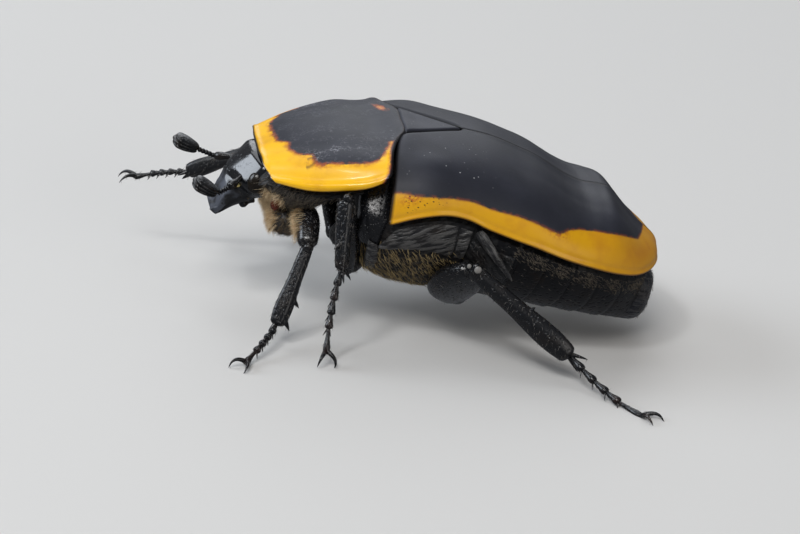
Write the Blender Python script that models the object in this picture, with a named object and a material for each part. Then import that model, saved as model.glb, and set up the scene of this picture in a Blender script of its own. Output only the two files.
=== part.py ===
"""A sun beetle (Pachnoda marginata) at life size, standing with its right front leg raised.

Shapes are worked out in millimetres in the body's own frame: x runs from the head (-) to the
tail (+) with 0 at the base of the scutellum, y from the left side (-) to the right side (+),
and z up. The whole body then hangs on one empty, which pitches it nose-up and stands it on
the floor at z = 0, with the middle of its bounding box over the origin.
"""

import math

import bmesh
import bpy
import numpy as np
from mathutils import Matrix, Vector

MM = 0.001

# Fits
GAP = 0.3                   # air left between neighbouring pieces
PLATE = 0.55                # thickness of the wing cases and the pronotum
CORE_INSET = 0.98           # how far the trunk's back lies under the plates' outer face
RIM_LEDGE = 0.42            # how far the trunk's side starts below a plate's rim
RIM_OVERHANG = 0.35         # how far a rim stands out past the trunk's side

# Stance
PITCH = math.radians(8.0)   # nose-up
LIFT = 6.83                 # height of the body frame's origin above the floor
FLAT_DEPTH = 0.1            # how far the claws' tips would reach under the floor, which cuts them flat

# Back: the midline's height, shared by pronotum, scutellum and wing cases
BACK_HEIGHT = [(-7.6, 1.0), (-6.8, 1.52), (-5.4, 2.4), (-3.5, 3.3), (-1.4, 3.92), (0.0, 4.2),
               (3.3, 4.28), (5.9, 4.2), (8.0, 3.9)]
BACK_SQUARENESS = 2.3       # of the trunk's back under the plates

# Wing cases
ELYTRA_SQUARENESS = 2.4     # exponent of the cross-section, 2 is an ellipse
ELYTRA_FRONT_EDGE = [(0.0, 0.15), (0.12, 0.0), (0.25, -0.2), (0.5, -0.52), (0.72, -0.6), (1.0, -0.3)]
ELYTRA_TAIL = 15.95
ELYTRA_ROUNDING_START = 7.0
ELYTRA_PLAN_POWER = 2.2     # roundness of the tail seen from above
ELYTRA_VAULT_POWER = 2.1    # roundness of the tail seen from the side
ELYTRA_HALF_WIDTH = [(-0.3, 6.25), (1.2, 6.35), (3.2, 6.15), (7.0, 6.45), (16.0, 6.45)]
ELYTRA_RIM_HEIGHT = [(-0.3, 0.34), (1.0, 1.1), (2.4, 1.5), (4.3, 1.45), (6.6, 1.07), (9.0, 0.61),
                     (11.5, 0.15), (14.5, -0.45), (15.5, -0.42), (15.95, -0.2)]
ELYTRA_VAULT_HEIGHT = 3.1   # rise from rim to midline where the tail starts to round off

# Scutellum
SCUTELLUM_BASE = 0.15
SCUTELLUM_TIP = 3.3
SCUTELLUM_HALF_WIDTH = 1.8
SCUTELLUM_TIP_HALF_WIDTH = 0.14

# Pronotum
PRONOTUM_SQUARENESS = 2.25
PRONOTUM_FRONT = -7.45
PRONOTUM_FRONT_ANGLE = -6.75
PRONOTUM_REAR = -0.15
PRONOTUM_REAR_ANGLE = -1.0
PRONOTUM_NOTCH = 0.28       # how far the rear edge is drawn in before the scutellum
PRONOTUM_BEAD = 0.16        # height of the rolled bead along the side rim
PRONOTUM_HALF_WIDTH = [(-7.6, 2.4), (-6.9, 3.15), (-5.6, 4.2), (-3.2, 5.35), (-1.5, 5.8), (-0.1, 5.8)]
PRONOTUM_RIM_HEIGHT = [(-7.6, 1.0), (-6.9, 0.78), (-5.6, 0.5), (-4.4, 0.78), (-3.2, 1.3), (-1.8, 2.1),
                       (-0.9, 2.75), (-0.1, 3.1)]

# Trunk
BELLY_SQUARENESS = 1.8
BELLY_HEIGHT = [(-1.7, -0.5), (-1.35, -1.9), (-0.9, -3.2), (-0.2, -4.0), (0.9, -4.35), (2.7, -4.5),
                (4.3, -4.4), (6.2, -4.25), (9.4, -4.1), (11.7, -4.05), (14.0, -4.1), (15.6, -4.15)]
THORAX_FRONT = -1.7
THORAX_REAR = 5.35
THORAX_TOP = 4.1
NECK_HALF_WIDTH = 4.3       # of the thorax's front end, which tucks under the pronotum
NECK_RIM = 0.9
ABDOMEN_FRONT = 5.65
ABDOMEN_REAR = 14.75
ABDOMEN_RINGS = 5
FIRST_RING = 6.9            # where the first of the belly's rings starts
RING_GROOVE = 0.13          # depth of the grooves between the belly's rings
COXA_RECESS = 0.75          # how far the trunk is drawn in under the hind coxae
COXA_RECESS_SPAN = (4.15, 6.85)
COXA_RECESS_EDGE = 0.25     # length over which the recess reaches its depth
COXA_PLATE_DEPTH = 1.2      # how deep the hind coxa's plate is before the trunk cuts it back
COXA_PLATE_ARC = (14, 86)   # degrees round the belly, from the side to the middle
COXA_BLADE = ((4.9, -5.25, 0.3), (7.2, -5.55, -1.55))
PYGIDIUM_TIP = 16.5
PYGIDIUM_HALF_WIDTH = 2.9
PYGIDIUM_HALF_HEIGHT = 1.65
PYGIDIUM_MIDDLE = -2.55
PYGIDIUM_LEAN = 0.9         # how far it drops from its front to its tip

# Prothorax, under the pronotum
PROTHORAX_FRONT = -6.75
PROTHORAX_REAR = -2.0
PROTHORAX_SQUARENESS = 1.5
PROTHORAX_DROP = 1.15       # least drop of its side rim under the pronotum's midline
PROSTERNUM_HEIGHT = [(-6.75, -0.7), (-6.1, -1.3), (-5.3, -1.9), (-4.5, -2.0), (-3.8, -1.7), (-3.2, -0.8),
                     (-2.7, -0.15), (-2.0, 0.1)]

# Head: a block hung along the line of its brow
HEAD_TILT = math.radians(25.0)          # the brow line from the vertical
HEAD_TOP = Vector((-6.86, 0.0, 1.08))
HEAD_HALF_WIDTH = [(-0.9, 1.9), (0.0, 2.15), (0.9, 2.3), (1.8, 2.1), (2.4, 1.75), (3.1, 1.6),
                   (4.1, 1.5), (4.6, 1.3)]
HEAD_BROW = [(-0.9, -0.3), (0.0, 0.0), (0.9, 0.34), (1.8, 0.4), (2.6, 0.28), (3.4, 0.08),
             (4.1, 0.0), (4.6, 0.18)]
HEAD_DEPTH = [(-0.9, 1.7), (0.0, 2.1), (0.9, 2.4), (1.8, 2.3), (2.6, 1.95), (3.4, 1.35),
              (4.1, 0.75), (4.6, 0.42)]
CLYPEUS_START = 4.0         # how far down the brow line the clypeus's front edge starts to turn up
HEAD_SQUARENESS = 2.8
EYE = Vector((-7.0, -2.2, -0.15))
EYE_RADII = (0.55, 0.5, 0.68)
PALP_ROOT = Vector((-6.95, -0.8, -2.0))
PALP_TIP = Vector((-7.2, -1.2, -3.45))

# Colours, as in life
BLACK_SATIN = ((0.035, 0.036, 0.042), 0.45)
BLACK_GLOSS = ((0.008, 0.008, 0.010), 0.18)
YELLOW = ((0.72, 0.36, 0.012), 0.30)
BROWN_BLACK = ((0.020, 0.014, 0.010), 0.35)
AMBER_EYE = ((0.030, 0.018, 0.010), 0.10)


def through(stations, x):
    """The value at x of the smooth curve through (x, value) stations, level beyond its ends."""
    places, values = (np.array(column, float) for column in zip(*stations))
    slopes = np.gradient(values, places)
    x = np.clip(np.asarray(x, float), places[0], places[-1])
    i = np.clip(np.searchsorted(places, x) - 1, 0, len(places) - 2)
    step = places[i + 1] - places[i]
    t = (x - places[i]) / step
    rise = values[i] * (1 + 2 * t) * (1 - t) ** 2 + values[i + 1] * t * t * (3 - 2 * t)
    lean = slopes[i] * t * (1 - t) ** 2 - slopes[i + 1] * t * t * (1 - t)
    return rise + lean * step


def superellipse(angle, squareness):
    """The unit superellipse's two coordinates at an angle, given as arrays."""
    cosine, sine = np.cos(angle), np.sin(angle)
    power = 2.0 / squareness
    return np.sign(cosine) * np.abs(cosine) ** power, np.sign(sine) * np.abs(sine) ** power


def smooth_step(low, high, x):
    t = np.clip((np.asarray(x, float) - low) / (high - low), 0.0, 1.0)
    return t * t * (3.0 - 2.0 * t)


def tail_rounding(x, power):
    """1 ahead of the tail, falling to 0 at its end along a superellipse."""
    reach = (np.asarray(x, float) - ELYTRA_ROUNDING_START) / (ELYTRA_TAIL - ELYTRA_ROUNDING_START)
    return (1.0 - np.clip(reach, 0.0, 1.0) ** power) ** (1.0 / power)


def elytra_half_width(x):
    return through(ELYTRA_HALF_WIDTH, x) * tail_rounding(x, ELYTRA_PLAN_POWER)


def elytra_rise(x):
    """Height of the wing cases' midline above their rim."""
    front = through(BACK_HEIGHT, x) - through(ELYTRA_RIM_HEIGHT, x)
    blend = smooth_step(4.0, ELYTRA_ROUNDING_START, x)
    return (front * (1 - blend) + ELYTRA_VAULT_HEIGHT * blend) * tail_rounding(x, ELYTRA_VAULT_POWER)


def elytra_surface(x, angle):
    """Points of the wing cases' outer face, at an angle of 0 on the left rim and pi/2 on the midline."""
    across, up = superellipse(angle, ELYTRA_SQUARENESS)
    y = -elytra_half_width(x) * across
    z = through(ELYTRA_RIM_HEIGHT, x) + elytra_rise(x) * up
    return np.stack([x, y, z], -1)


def pronotum_surface(x, angle):
    """Points of the pronotum's outer face, from an angle of 0 on the left rim to pi on the right."""
    across, up = superellipse(angle, PRONOTUM_SQUARENESS)
    rim = through(PRONOTUM_RIM_HEIGHT, x)
    y = -through(PRONOTUM_HALF_WIDTH, x) * across
    return np.stack([x, y, rim + (through(BACK_HEIGHT, x) - rim) * up], -1)


def grid_normals(grid):
    """Unit normals of a grid of points that face up and out on the back."""
    along, across = np.gradient(grid, axis=0), np.gradient(grid, axis=1)
    normals = np.cross(along, across)
    normals /= np.linalg.norm(normals, axis=-1, keepdims=True)
    return normals if normals[..., 2].mean() > 0 else -normals


# Making solids, still in millimetres

def solid(points, faces):
    """An object from points and faces, with all its faces turned out."""
    mesh = bpy.data.meshes.new("solid")
    shape = bmesh.new()
    corners = [shape.verts.new(point) for point in points]
    for face in faces:
        shape.faces.new([corners[i] for i in face])
    bmesh.ops.recalc_face_normals(shape, faces=shape.faces)
    shape.to_mesh(mesh)
    shape.free()
    piece = bpy.data.objects.new("solid", mesh)
    bpy.context.scene.collection.objects.link(piece)
    return piece


def plate(outer, thickness):
    """A closed plate whose outer face is a grid of points, split into triangles alike on both faces."""
    rows, columns = outer.shape[:2]
    inner = outer - grid_normals(outer) * thickness
    points = np.concatenate([outer.reshape(-1, 3), inner.reshape(-1, 3)])
    below = rows * columns
    faces = []
    for i in range(rows - 1):
        for j in range(columns - 1):
            a = i * columns + j
            b, c, d = a + 1, a + columns + 1, a + columns
            for triangle in ((a, b, c), (a, c, d)):
                faces.append(triangle)
                faces.append(tuple(below + k for k in reversed(triangle)))
    edge = [j for j in range(columns)]
    edge += [i * columns + columns - 1 for i in range(1, rows)]
    edge += [(rows - 1) * columns + j for j in range(columns - 2, -1, -1)]
    edge += [i * columns for i in range(rows - 2, 0, -1)]
    for here, there in zip(edge, edge[1:] + edge[:1]):
        faces.append((here, below + here, below + there))
        faces.append((here, below + there, there))
    return solid(points, faces)


def loft(rings, start=None, end=None):
    """A closed solid through rings of equally many points, each end closed by a point or left flat."""
    rings = [np.asarray(ring, float) for ring in rings]
    count = len(rings[0])
    points = [point for ring in rings for point in ring]
    faces = []
    for i in range(len(rings) - 1):
        for j in range(count):
            k = (j + 1) % count
            faces.append((i * count + j, i * count + k, (i + 1) * count + k, (i + 1) * count + j))
    for first, pole in ((0, start), ((len(rings) - 1) * count, end)):
        ring = range(first, first + count)
        if pole is None:
            faces.append(tuple(ring))
        else:
            points.append(np.asarray(pole, float))
            faces.extend((first + j, first + (j + 1) % count, len(points) - 1) for j in range(count))
    return solid(points, faces)


def ellipsoid(centre, radii, sides=10, rings=6):
    """A closed ellipsoid with its poles along z."""
    turn = np.linspace(0, 2 * math.pi, sides, endpoint=False)
    unit = np.stack([np.cos(turn), np.sin(turn), np.zeros(sides)], -1)
    centre, radii = np.array(centre, float), np.array(radii, float)
    levels = np.linspace(-math.pi / 2, math.pi / 2, rings + 2)[1:-1]
    loops = [centre + radii * (unit * math.cos(level) + [0, 0, math.sin(level)]) for level in levels]
    return loft(loops, centre - [0, 0, radii[2]], centre + [0, 0, radii[2]])


def limb(start, end, sizes, bow=(0, 0, 0), face=(0, 0, 1), sides=8, rings=9, dome=0.6):
    """A rounded rod from start to end. sizes holds (share of length, half-width, half-thickness);
    bow bends its middle aside, and its thickness lies along the direction that face gives."""
    start, end, bow = (np.array(v, float) for v in (start, end, bow))
    length = np.linalg.norm(end - start)
    reach = [dome * sizes[k][1] / length for k in (0, -1)]
    body = np.linspace(reach[0], 1 - reach[1], rings)
    shares = np.concatenate([[reach[0] * 0.25], body, [1 - reach[1] * 0.25]])
    turn = np.linspace(0, 2 * math.pi, sides, endpoint=False)
    widths = through([(s, w) for s, w, _ in sizes], shares)
    depths = through([(s, d) for s, _, d in sizes], shares)
    rounding = np.array([0.66] + [1.0] * rings + [0.66])
    loops = []
    for share, width, depth, shrink in zip(shares, widths, depths, rounding):
        centre = start + (end - start) * share + bow * 4 * share * (1 - share)
        heading = end - start + bow * 4 * (1 - 2 * share)
        side = np.cross(heading, face)
        side /= np.linalg.norm(side)
        thick = np.cross(side, heading)
        thick /= np.linalg.norm(thick)
        ring = np.outer(np.cos(turn) * width, side) + np.outer(np.sin(turn) * depth, thick)
        loops.append(centre + shrink * ring)
    return loft(loops, start, end)


def spike(base, tip, radius, sides=5):
    """A closed cone, for a spur or a tooth."""
    base, tip = Vector(base), Vector(tip)
    heading = (tip - base).normalized()
    side = heading.orthogonal().normalized()
    other = heading.cross(side)
    ring = [base + (side * math.cos(a) + other * math.sin(a)) * radius
            for a in (2 * math.pi * k / sides for k in range(sides))]
    return loft([ring], base, tip)


def copy_swollen(piece, margin):
    """A copy of a piece with its surface moved out by the margin."""
    swollen = piece.copy()
    swollen.data = piece.data.copy()
    bpy.context.scene.collection.objects.link(swollen)
    moved = [vertex.co + vertex.normal * margin for vertex in swollen.data.vertices]
    for vertex, place in zip(swollen.data.vertices, moved):
        vertex.co = place
    return swollen


def keep_largest(mesh):
    """Leaves only the largest closed surface of a mesh."""
    shape = bmesh.new()
    shape.from_mesh(mesh)
    bmesh.ops.remove_doubles(shape, verts=shape.verts, dist=0.002)
    bmesh.ops.dissolve_degenerate(shape, edges=shape.edges, dist=0.002)
    bmesh.ops.triangulate(shape, faces=shape.faces)
    unseen = set(shape.faces)
    if not unseen:
        raise ValueError("nothing is left of the piece")
    islands = []
    while unseen:
        island, queue = [], [unseen.pop()]
        while queue:
            face = queue.pop()
            island.append(face)
            near = {other for edge in face.edges for other in edge.link_faces} & unseen
            unseen -= near
            queue.extend(near)
        islands.append(island)
    largest = max(islands, key=lambda island: sum(face.calc_area() for face in island))
    spare = [face for island in islands if island is not largest for face in island]
    bmesh.ops.delete(shape, geom=spare, context="FACES")
    shape.to_mesh(mesh)
    shape.free()


def boolean(piece, others, operation):
    """Joins the others to a piece or cuts them from it in one step, and removes them."""
    group = bpy.data.collections.new("others")
    bpy.context.scene.collection.children.link(group)
    for other in others:
        bpy.context.scene.collection.objects.unlink(other)
        group.objects.link(other)
    modifier = piece.modifiers.new(operation, "BOOLEAN")
    modifier.operation = operation
    modifier.operand_type = "COLLECTION"
    modifier.collection = group
    view = bpy.context.evaluated_depsgraph_get()
    result = bpy.data.meshes.new_from_object(piece.evaluated_get(view))
    piece.modifiers.clear()
    piece.data = result
    for other in others:
        bpy.data.objects.remove(other)
    bpy.data.collections.remove(group)
    keep_largest(result)
    return piece


def clear_of(piece, *neighbours):
    """Cuts a piece back until it stands a gap away from its neighbours."""
    return boolean(piece, [copy_swollen(neighbour, GAP) for neighbour in neighbours], "DIFFERENCE")


def fused(*pieces):
    return boolean(pieces[0], list(pieces[1:]), "UNION")


def mirrored(piece):
    """A copy of a left-hand piece for the right side."""
    twin = piece.copy()
    twin.data = piece.data.copy()
    twin.data.transform(Matrix.Scale(-1, 4, Vector((0, 1, 0))))
    twin.data.flip_normals()
    bpy.context.scene.collection.objects.link(twin)
    return twin


# Finished nodes

def material(name, look):
    colour, roughness = look
    made = bpy.data.materials.new(name)
    made.use_nodes = True
    shader = made.node_tree.nodes["Principled BSDF"]
    shader.inputs["Base Color"].default_value = (*colour, 1.0)
    shader.inputs["Roughness"].default_value = roughness
    shader.inputs["Metallic"].default_value = 0.0
    return made


def finish(piece, name, look, origin, stand):
    """Turns a piece into a node: in metres, about its own origin, with its material, on the stand."""
    origin = Vector(origin)
    mesh = piece.data
    mesh.transform(Matrix.Translation(-origin))
    mesh.transform(Matrix.Scale(MM, 4))
    mesh.materials.clear()
    mesh.materials.append(material(name, look))
    mesh.shade_smooth()
    mesh.set_sharp_from_angle(angle=math.radians(40))
    piece.name = name
    mesh.name = name
    piece.parent = stand
    piece.location = origin * MM
    return piece


# Back plates

def make_elytron():
    """The left wing case, from the shoulder round the tail, cut back beside the scutellum."""
    columns = 11
    beside_scutellum = np.linspace(0.0, 0.225, 7)
    middle = np.linspace(0.225, 0.7, 7)[1:]
    tail = 0.7 + 0.3 * np.sin(np.linspace(0, math.pi / 2, 9)[1:])
    share = np.concatenate([beside_scutellum, middle, tail])[:, None]
    front = through(ELYTRA_FRONT_EDGE, 1 - np.linspace(0, 1, columns)[None, :])
    x = front + (ELYTRA_TAIL - 0.02 - front) * share
    inner_edge = np.where(x < SCUTELLUM_TIP + GAP, scutellum_half_width(x) + GAP, GAP / 2)
    share_in = np.clip(inner_edge / np.maximum(elytra_half_width(x), 0.4), 0, 0.97)
    last = np.arccos(share_in ** (ELYTRA_SQUARENESS / 2))
    angle = last * np.linspace(0, 1, columns)[None, :] ** 1.15
    return plate(elytra_surface(x, angle), PLATE)


def scutellum_half_width(x):
    """Half-width of the small shield, which narrows evenly from its base to its tip."""
    return np.interp(x, (SCUTELLUM_BASE, SCUTELLUM_TIP), (SCUTELLUM_HALF_WIDTH, SCUTELLUM_TIP_HALF_WIDTH))


def make_scutellum():
    """The small shield between the wing cases, a little sunk between them."""
    rows, columns = 8, 7
    share = np.linspace(0, 1, rows)[:, None]
    x = SCUTELLUM_BASE + (SCUTELLUM_TIP - SCUTELLUM_BASE) * share + np.zeros((1, columns))
    y = scutellum_half_width(x) * np.linspace(-1, 1, columns)[None, :]
    drop = 1 - (1 - np.abs(y / elytra_half_width(x)) ** ELYTRA_SQUARENESS) ** (1 / ELYTRA_SQUARENESS)
    z = through(BACK_HEIGHT, x) - elytra_rise(x) * drop
    return plate(np.stack([x, y, z], -1), PLATE)


def make_pronotum():
    """The shield over the prothorax, with its rolled side rim and its notch before the scutellum."""
    rows, columns = 13, 23
    angle = np.linspace(0, math.pi, columns)[None, :]
    side = np.abs(np.cos(angle))
    front = PRONOTUM_FRONT + (PRONOTUM_FRONT_ANGLE - PRONOTUM_FRONT) * side ** 2
    notch = PRONOTUM_NOTCH * np.exp(-(side / 0.22) ** 4)
    rear = PRONOTUM_REAR - notch + (PRONOTUM_REAR_ANGLE - PRONOTUM_REAR) * side ** 2.2
    share = np.linspace(0, 1, rows)[:, None]
    x = front + (rear - front) * share
    outer = pronotum_surface(x, angle + np.zeros_like(x))
    ends = np.sin(math.pi * np.clip(share, 0.02, 0.98)) ** 0.3
    bead = PRONOTUM_BEAD * np.exp(-((1 - side) / 0.05) ** 2) * ends
    return plate(outer + grid_normals(outer) * bead[..., None], PLATE)


# Trunk

def trunk_ring(x, half_width, rim, top, floor, squareness, count_up=9, count_down=13):
    """One cross-section: a back arc inset under the plates, a ledge under their rim, and the belly's arc."""
    up_angle = np.linspace(0, math.pi, count_up)
    across, up = superellipse(up_angle, BACK_SQUARENESS)
    narrow = max(half_width - CORE_INSET, 0.3)
    back = [(x, -narrow * a, rim + max(top - CORE_INSET - rim, 0.25) * u) for a, u in zip(across, up)]
    wide = max(half_width - RIM_OVERHANG, 0.45)
    ledge = rim - RIM_LEDGE
    down_angle = np.linspace(0, math.pi, count_down)
    across, down = superellipse(down_angle, squareness)
    belly = [(x, wide * a, ledge - (ledge - floor) * d) for a, d in zip(across, down)]
    return back + belly


def coxa_recess(x):
    low, high = COXA_RECESS_SPAN
    leave = smooth_step(high, high + COXA_RECESS_EDGE, x)
    return COXA_RECESS * smooth_step(low - COXA_RECESS_EDGE, low, x) * (1 - leave)


def make_thorax():
    """The middle and rear thorax as one block, from behind the front legs to the hind coxae."""
    stations = [THORAX_FRONT, -1.45, -1.1, -0.6, -0.1, 0.7, 1.6, 2.6, 3.4, 3.9, 4.15, 4.8, THORAX_REAR]
    rings = []
    for x in stations:
        cover = smooth_step(-1.7, 0.2, x)
        pull = coxa_recess(x)
        half = NECK_HALF_WIDTH + (elytra_half_width(max(x, 0.0)) - NECK_HALF_WIDTH) * cover - pull
        rim = NECK_RIM + (through(ELYTRA_RIM_HEIGHT, x) - NECK_RIM) * cover
        top = min(through(BACK_HEIGHT, x), THORAX_TOP)
        rings.append(trunk_ring(x, half, rim, top, through(BELLY_HEIGHT, x) + pull, BELLY_SQUARENESS))
    return loft(rings)


def make_abdomen():
    """The belly's rings, marked off by shallow grooves."""
    span = ABDOMEN_REAR - FIRST_RING
    stations = [ABDOMEN_FRONT, 6.3, 6.85]
    for ring in range(ABDOMEN_RINGS):
        start = FIRST_RING + span * ring / ABDOMEN_RINGS
        stations += [start + span / ABDOMEN_RINGS * share for share in (0.12, 0.5, 0.88)]
    stations.append(ABDOMEN_REAR)
    rings = []
    for x in stations:
        phase = (x - FIRST_RING) / span * ABDOMEN_RINGS % 1.0
        groove = RING_GROOVE * (abs(phase - 0.5) > 0.3) if x > FIRST_RING else 0.0
        pull = coxa_recess(x) + groove
        floor = through(BELLY_HEIGHT, x) + pull
        top = through(ELYTRA_RIM_HEIGHT, x) + elytra_rise(x)
        rings.append(trunk_ring(x, elytra_half_width(x) - pull, through(ELYTRA_RIM_HEIGHT, x), top, floor,
                                BELLY_SQUARENESS + 0.5))
    return loft(rings)


def make_pygidium():
    """The tail plate that closes the abdomen under the wing cases' ends."""
    rings = []
    for share in (0.0, 0.35, 0.65, 0.85, 0.96):
        x = ABDOMEN_REAR + GAP + (PYGIDIUM_TIP - ABDOMEN_REAR - GAP) * share
        bulge = math.sqrt(1 - share ** 2)
        middle = PYGIDIUM_MIDDLE - PYGIDIUM_LEAN * share
        turn = np.linspace(0, 2 * math.pi, 16, endpoint=False)
        across, up = superellipse(turn, 2.4)
        rings.append([(x, PYGIDIUM_HALF_WIDTH * bulge * a, middle + PYGIDIUM_HALF_HEIGHT * bulge * u)
                      for a, u in zip(across, up)])
    return loft(rings, None, (PYGIDIUM_TIP, 0, PYGIDIUM_MIDDLE - PYGIDIUM_LEAN))


def make_prothorax():
    """The block under the pronotum that carries the front legs."""
    stations = [PROTHORAX_FRONT, -6.3, -5.7, -5.0, -4.4, -3.8, -3.3, -2.9, -2.5, PROTHORAX_REAR]
    rings = []
    for x in stations:
        rim = min(through(PRONOTUM_RIM_HEIGHT, x), through(BACK_HEIGHT, x) - PROTHORAX_DROP)
        back = max(through(BACK_HEIGHT, x) - 0.05, rim + 0.5)
        rings.append(trunk_ring(x, through(PRONOTUM_HALF_WIDTH, x) - 0.15, rim, back,
                                min(through(PROSTERNUM_HEIGHT, x), rim - 0.8), PROTHORAX_SQUARENESS, 9, 11))
    return loft(rings)


def make_mesepimeron():
    """The left glossy wedge between the pronotum's rear angle and the shoulder."""
    wedge = [(2.35, -0.95, 0.12), (1.7, -1.1, 0.42), (0.9, -1.2, 0.7), (0.1, -1.2, 0.95), (-0.6, -1.0, 1.0),
             (-1.2, -0.8, 0.7)]
    turn = np.linspace(0, 2 * math.pi, 12, endpoint=False)
    rings = []
    for height, middle, half in wedge:
        side = -4.75 - 0.12 * height
        rings.append([(middle + half * math.cos(a), side + 0.75 * math.sin(a), height) for a in turn])
    return loft(rings, (-0.9, -4.95, 2.5), (-0.8, -4.6, -1.45))


# Head

def head_frame():
    """The head's directions: down along the brow, out from it, and the brow line's top."""
    along = Vector((-math.sin(HEAD_TILT), 0, -math.cos(HEAD_TILT)))
    out = Vector((-math.cos(HEAD_TILT), 0, math.sin(HEAD_TILT)))
    return along, out


def make_head():
    """Brow, cheeks and the upturned clypeus as one capsule."""
    along, out = head_frame()
    turn = np.linspace(0, 2 * math.pi, 18, endpoint=False)
    across, up = superellipse(turn, HEAD_SQUARENESS)
    rings = []
    for s in (-0.9, -0.4, 0.1, 0.7, 1.3, 1.9, 2.3, 2.7, 3.2, 3.8, 4.3, 4.6):
        half, brow, depth = (float(through(row, s)) for row in (HEAD_HALF_WIDTH, HEAD_BROW, HEAD_DEPTH))
        centre = HEAD_TOP + along * s + out * (brow - depth / 2)
        ring = []
        for a, u in zip(across, up):
            corner = 0.12 * a * a * max(s - CLYPEUS_START, 0.0)
            ring.append(centre + Vector((0, half * a, 0)) + out * (depth / 2 * u) + along * corner)
        rings.append(ring)
    return loft(rings)


def make_antenna(base, elbow, club_start, club_end):
    """A jointed stalk and its three-leaved club."""
    base, elbow, club_start, club_end = (Vector(p) for p in (base, elbow, club_start, club_end))
    stalk = fused(limb(base, elbow, [(0, 0.3, 0.3), (0.6, 0.27, 0.27), (1, 0.3, 0.3)], sides=7, rings=4),
                  limb(elbow + (base - elbow).normalized() * 0.2, club_start,
                       [(0, 0.25, 0.25), (1, 0.27, 0.27)], sides=7, rings=4))
    leaves = []
    heading = (club_end - club_start).normalized()
    fan = heading.cross(Vector((0.25, 1, 0.1))).normalized()
    for k, shorter in ((-1, 0.12), (0, 0.0), (1, 0.12)):
        shift = fan * 0.27 * k
        leaves.append(limb(club_start + shift * 0.8, club_end + shift * 1.15 - heading * shorter,
                           [(0, 0.24, 0.16), (0.45, 0.46, 0.24), (0.85, 0.42, 0.22), (1, 0.26, 0.16)],
                           face=fan, sides=8, rings=5))
    return stalk, clear_of(fused(*leaves), stalk)


# Legs

class Leg:
    """One leg's joints, from where its coxa sits in the trunk to its toe."""

    def __init__(self, root, hip, knee, ankle, toe, bow=(0, 0, 0), swing=(0, 0, 0)):
        self.root, self.hip, self.knee = Vector(root), Vector(hip), Vector(knee)
        self.ankle, self.toe = Vector(ankle), Vector(toe)
        self.bow = bow
        self.swing = swing

    def flipped(self):
        points = (self.root, self.hip, self.knee, self.ankle, self.toe)
        turned = [(p.x, -p.y, p.z) for p in points]
        return Leg(*turned, bow=(self.bow[0], -self.bow[1], self.bow[2]),
                   swing=(self.swing[0], -self.swing[1], self.swing[2]))


def floor_height(x):
    """The floor's height in the body frame under a place along the body."""
    return x * math.tan(PITCH) - LIFT / math.cos(PITCH)


def on_floor(x, y):
    return (x, y, floor_height(x) - FLAT_DEPTH)


FRONT_LEFT = Leg((-4.9, -0.7, -1.4), (-4.5, -1.7, -3.0), (-3.9, -4.9, -2.35), (-4.65, -6.5, -6.4),
                 on_floor(-6.8, -10.2), bow=(0.0, 0.0, 0.35), swing=(0.1, -0.1, 0.1))
FRONT_RIGHT = Leg((-4.9, 0.7, -1.4), (-4.6, 1.7, -3.0), (-6.9, 4.5, -1.5), (-9.15, 4.9, -3.7),
                  (-12.8, 5.3, -4.75), bow=(0.1, 0.0, 0.35), swing=(0.0, 0.2, 0.35))
MIDDLE_LEFT = Leg((-0.5, -1.2, -3.2), (-1.0, -2.3, -4.1), (-2.85, -5.75, 0.3), (-2.3, -7.0, -2.5),
                  on_floor(-2.0, -8.9), bow=(-0.5, 0.0, -0.45), swing=(-0.1, 0.2, -0.2))
HIND_LEFT = Leg((5.4, -1.6, -3.6), (5.3, -2.4, -4.2), (4.5, -6.55, -0.9), (10.75, -8.2, -3.85),
                on_floor(15.2, -12.3), bow=(-0.3, -0.1, -0.4), swing=(0.0, 0.0, -0.35))

TARSUS_JOINTS = 5


def make_tarsus(start, toe, swing, size):
    """Five flared joints in a chain, then two hooked claws."""
    start, toe = np.array(start, float), np.array(toe, float)
    reach = toe - start
    claw_length = 0.95 * size
    rings = []
    turn = np.linspace(0, 2 * math.pi, 7, endpoint=False)
    body = 1 - claw_length / np.linalg.norm(reach)
    steps = []
    for joint in range(TARSUS_JOINTS):
        first, last = joint / (TARSUS_JOINTS + 0.8), (joint + 1) / (TARSUS_JOINTS + 0.8)
        if joint == TARSUS_JOINTS - 1:
            last = 1.0
        for share, width in ((0.12, 0.62), (0.6, 0.85), (0.93, 1.0)):
            steps.append((first + (last - first) * share, width))

    def place(share):
        return start + reach * share + np.array(swing) * 4 * share * (1 - share)

    for share, width in steps:
        here, there = place(share * body - 0.01), place(share * body + 0.01)
        heading = (there - here) / np.linalg.norm(there - here)
        side = np.cross(heading, (0, 0, 1))
        side /= np.linalg.norm(side)
        up = np.cross(side, heading)
        radius = 0.29 * size * width
        ring = np.outer(np.cos(turn), side) + np.outer(np.sin(turn), up)
        rings.append(place(share * body) + radius * ring)
    tip = place(body * 1.02)
    chain = loft(rings, place(0.0), tip)
    claws = []
    for spread in (-1, 1):
        knuckle = tip + (heading * 0.45 + side * spread * 0.42 + up * 0.12) * claw_length
        point = toe + side * spread * 0.55 * claw_length
        claws.append(limb(place(body * 0.96), knuckle, [(0, 0.17, 0.17), (1, 0.14, 0.14)], sides=5, rings=2))
        claws.append(spike(knuckle - heading * 0.1, point, 0.14))
    return fused(chain, *claws)


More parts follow.
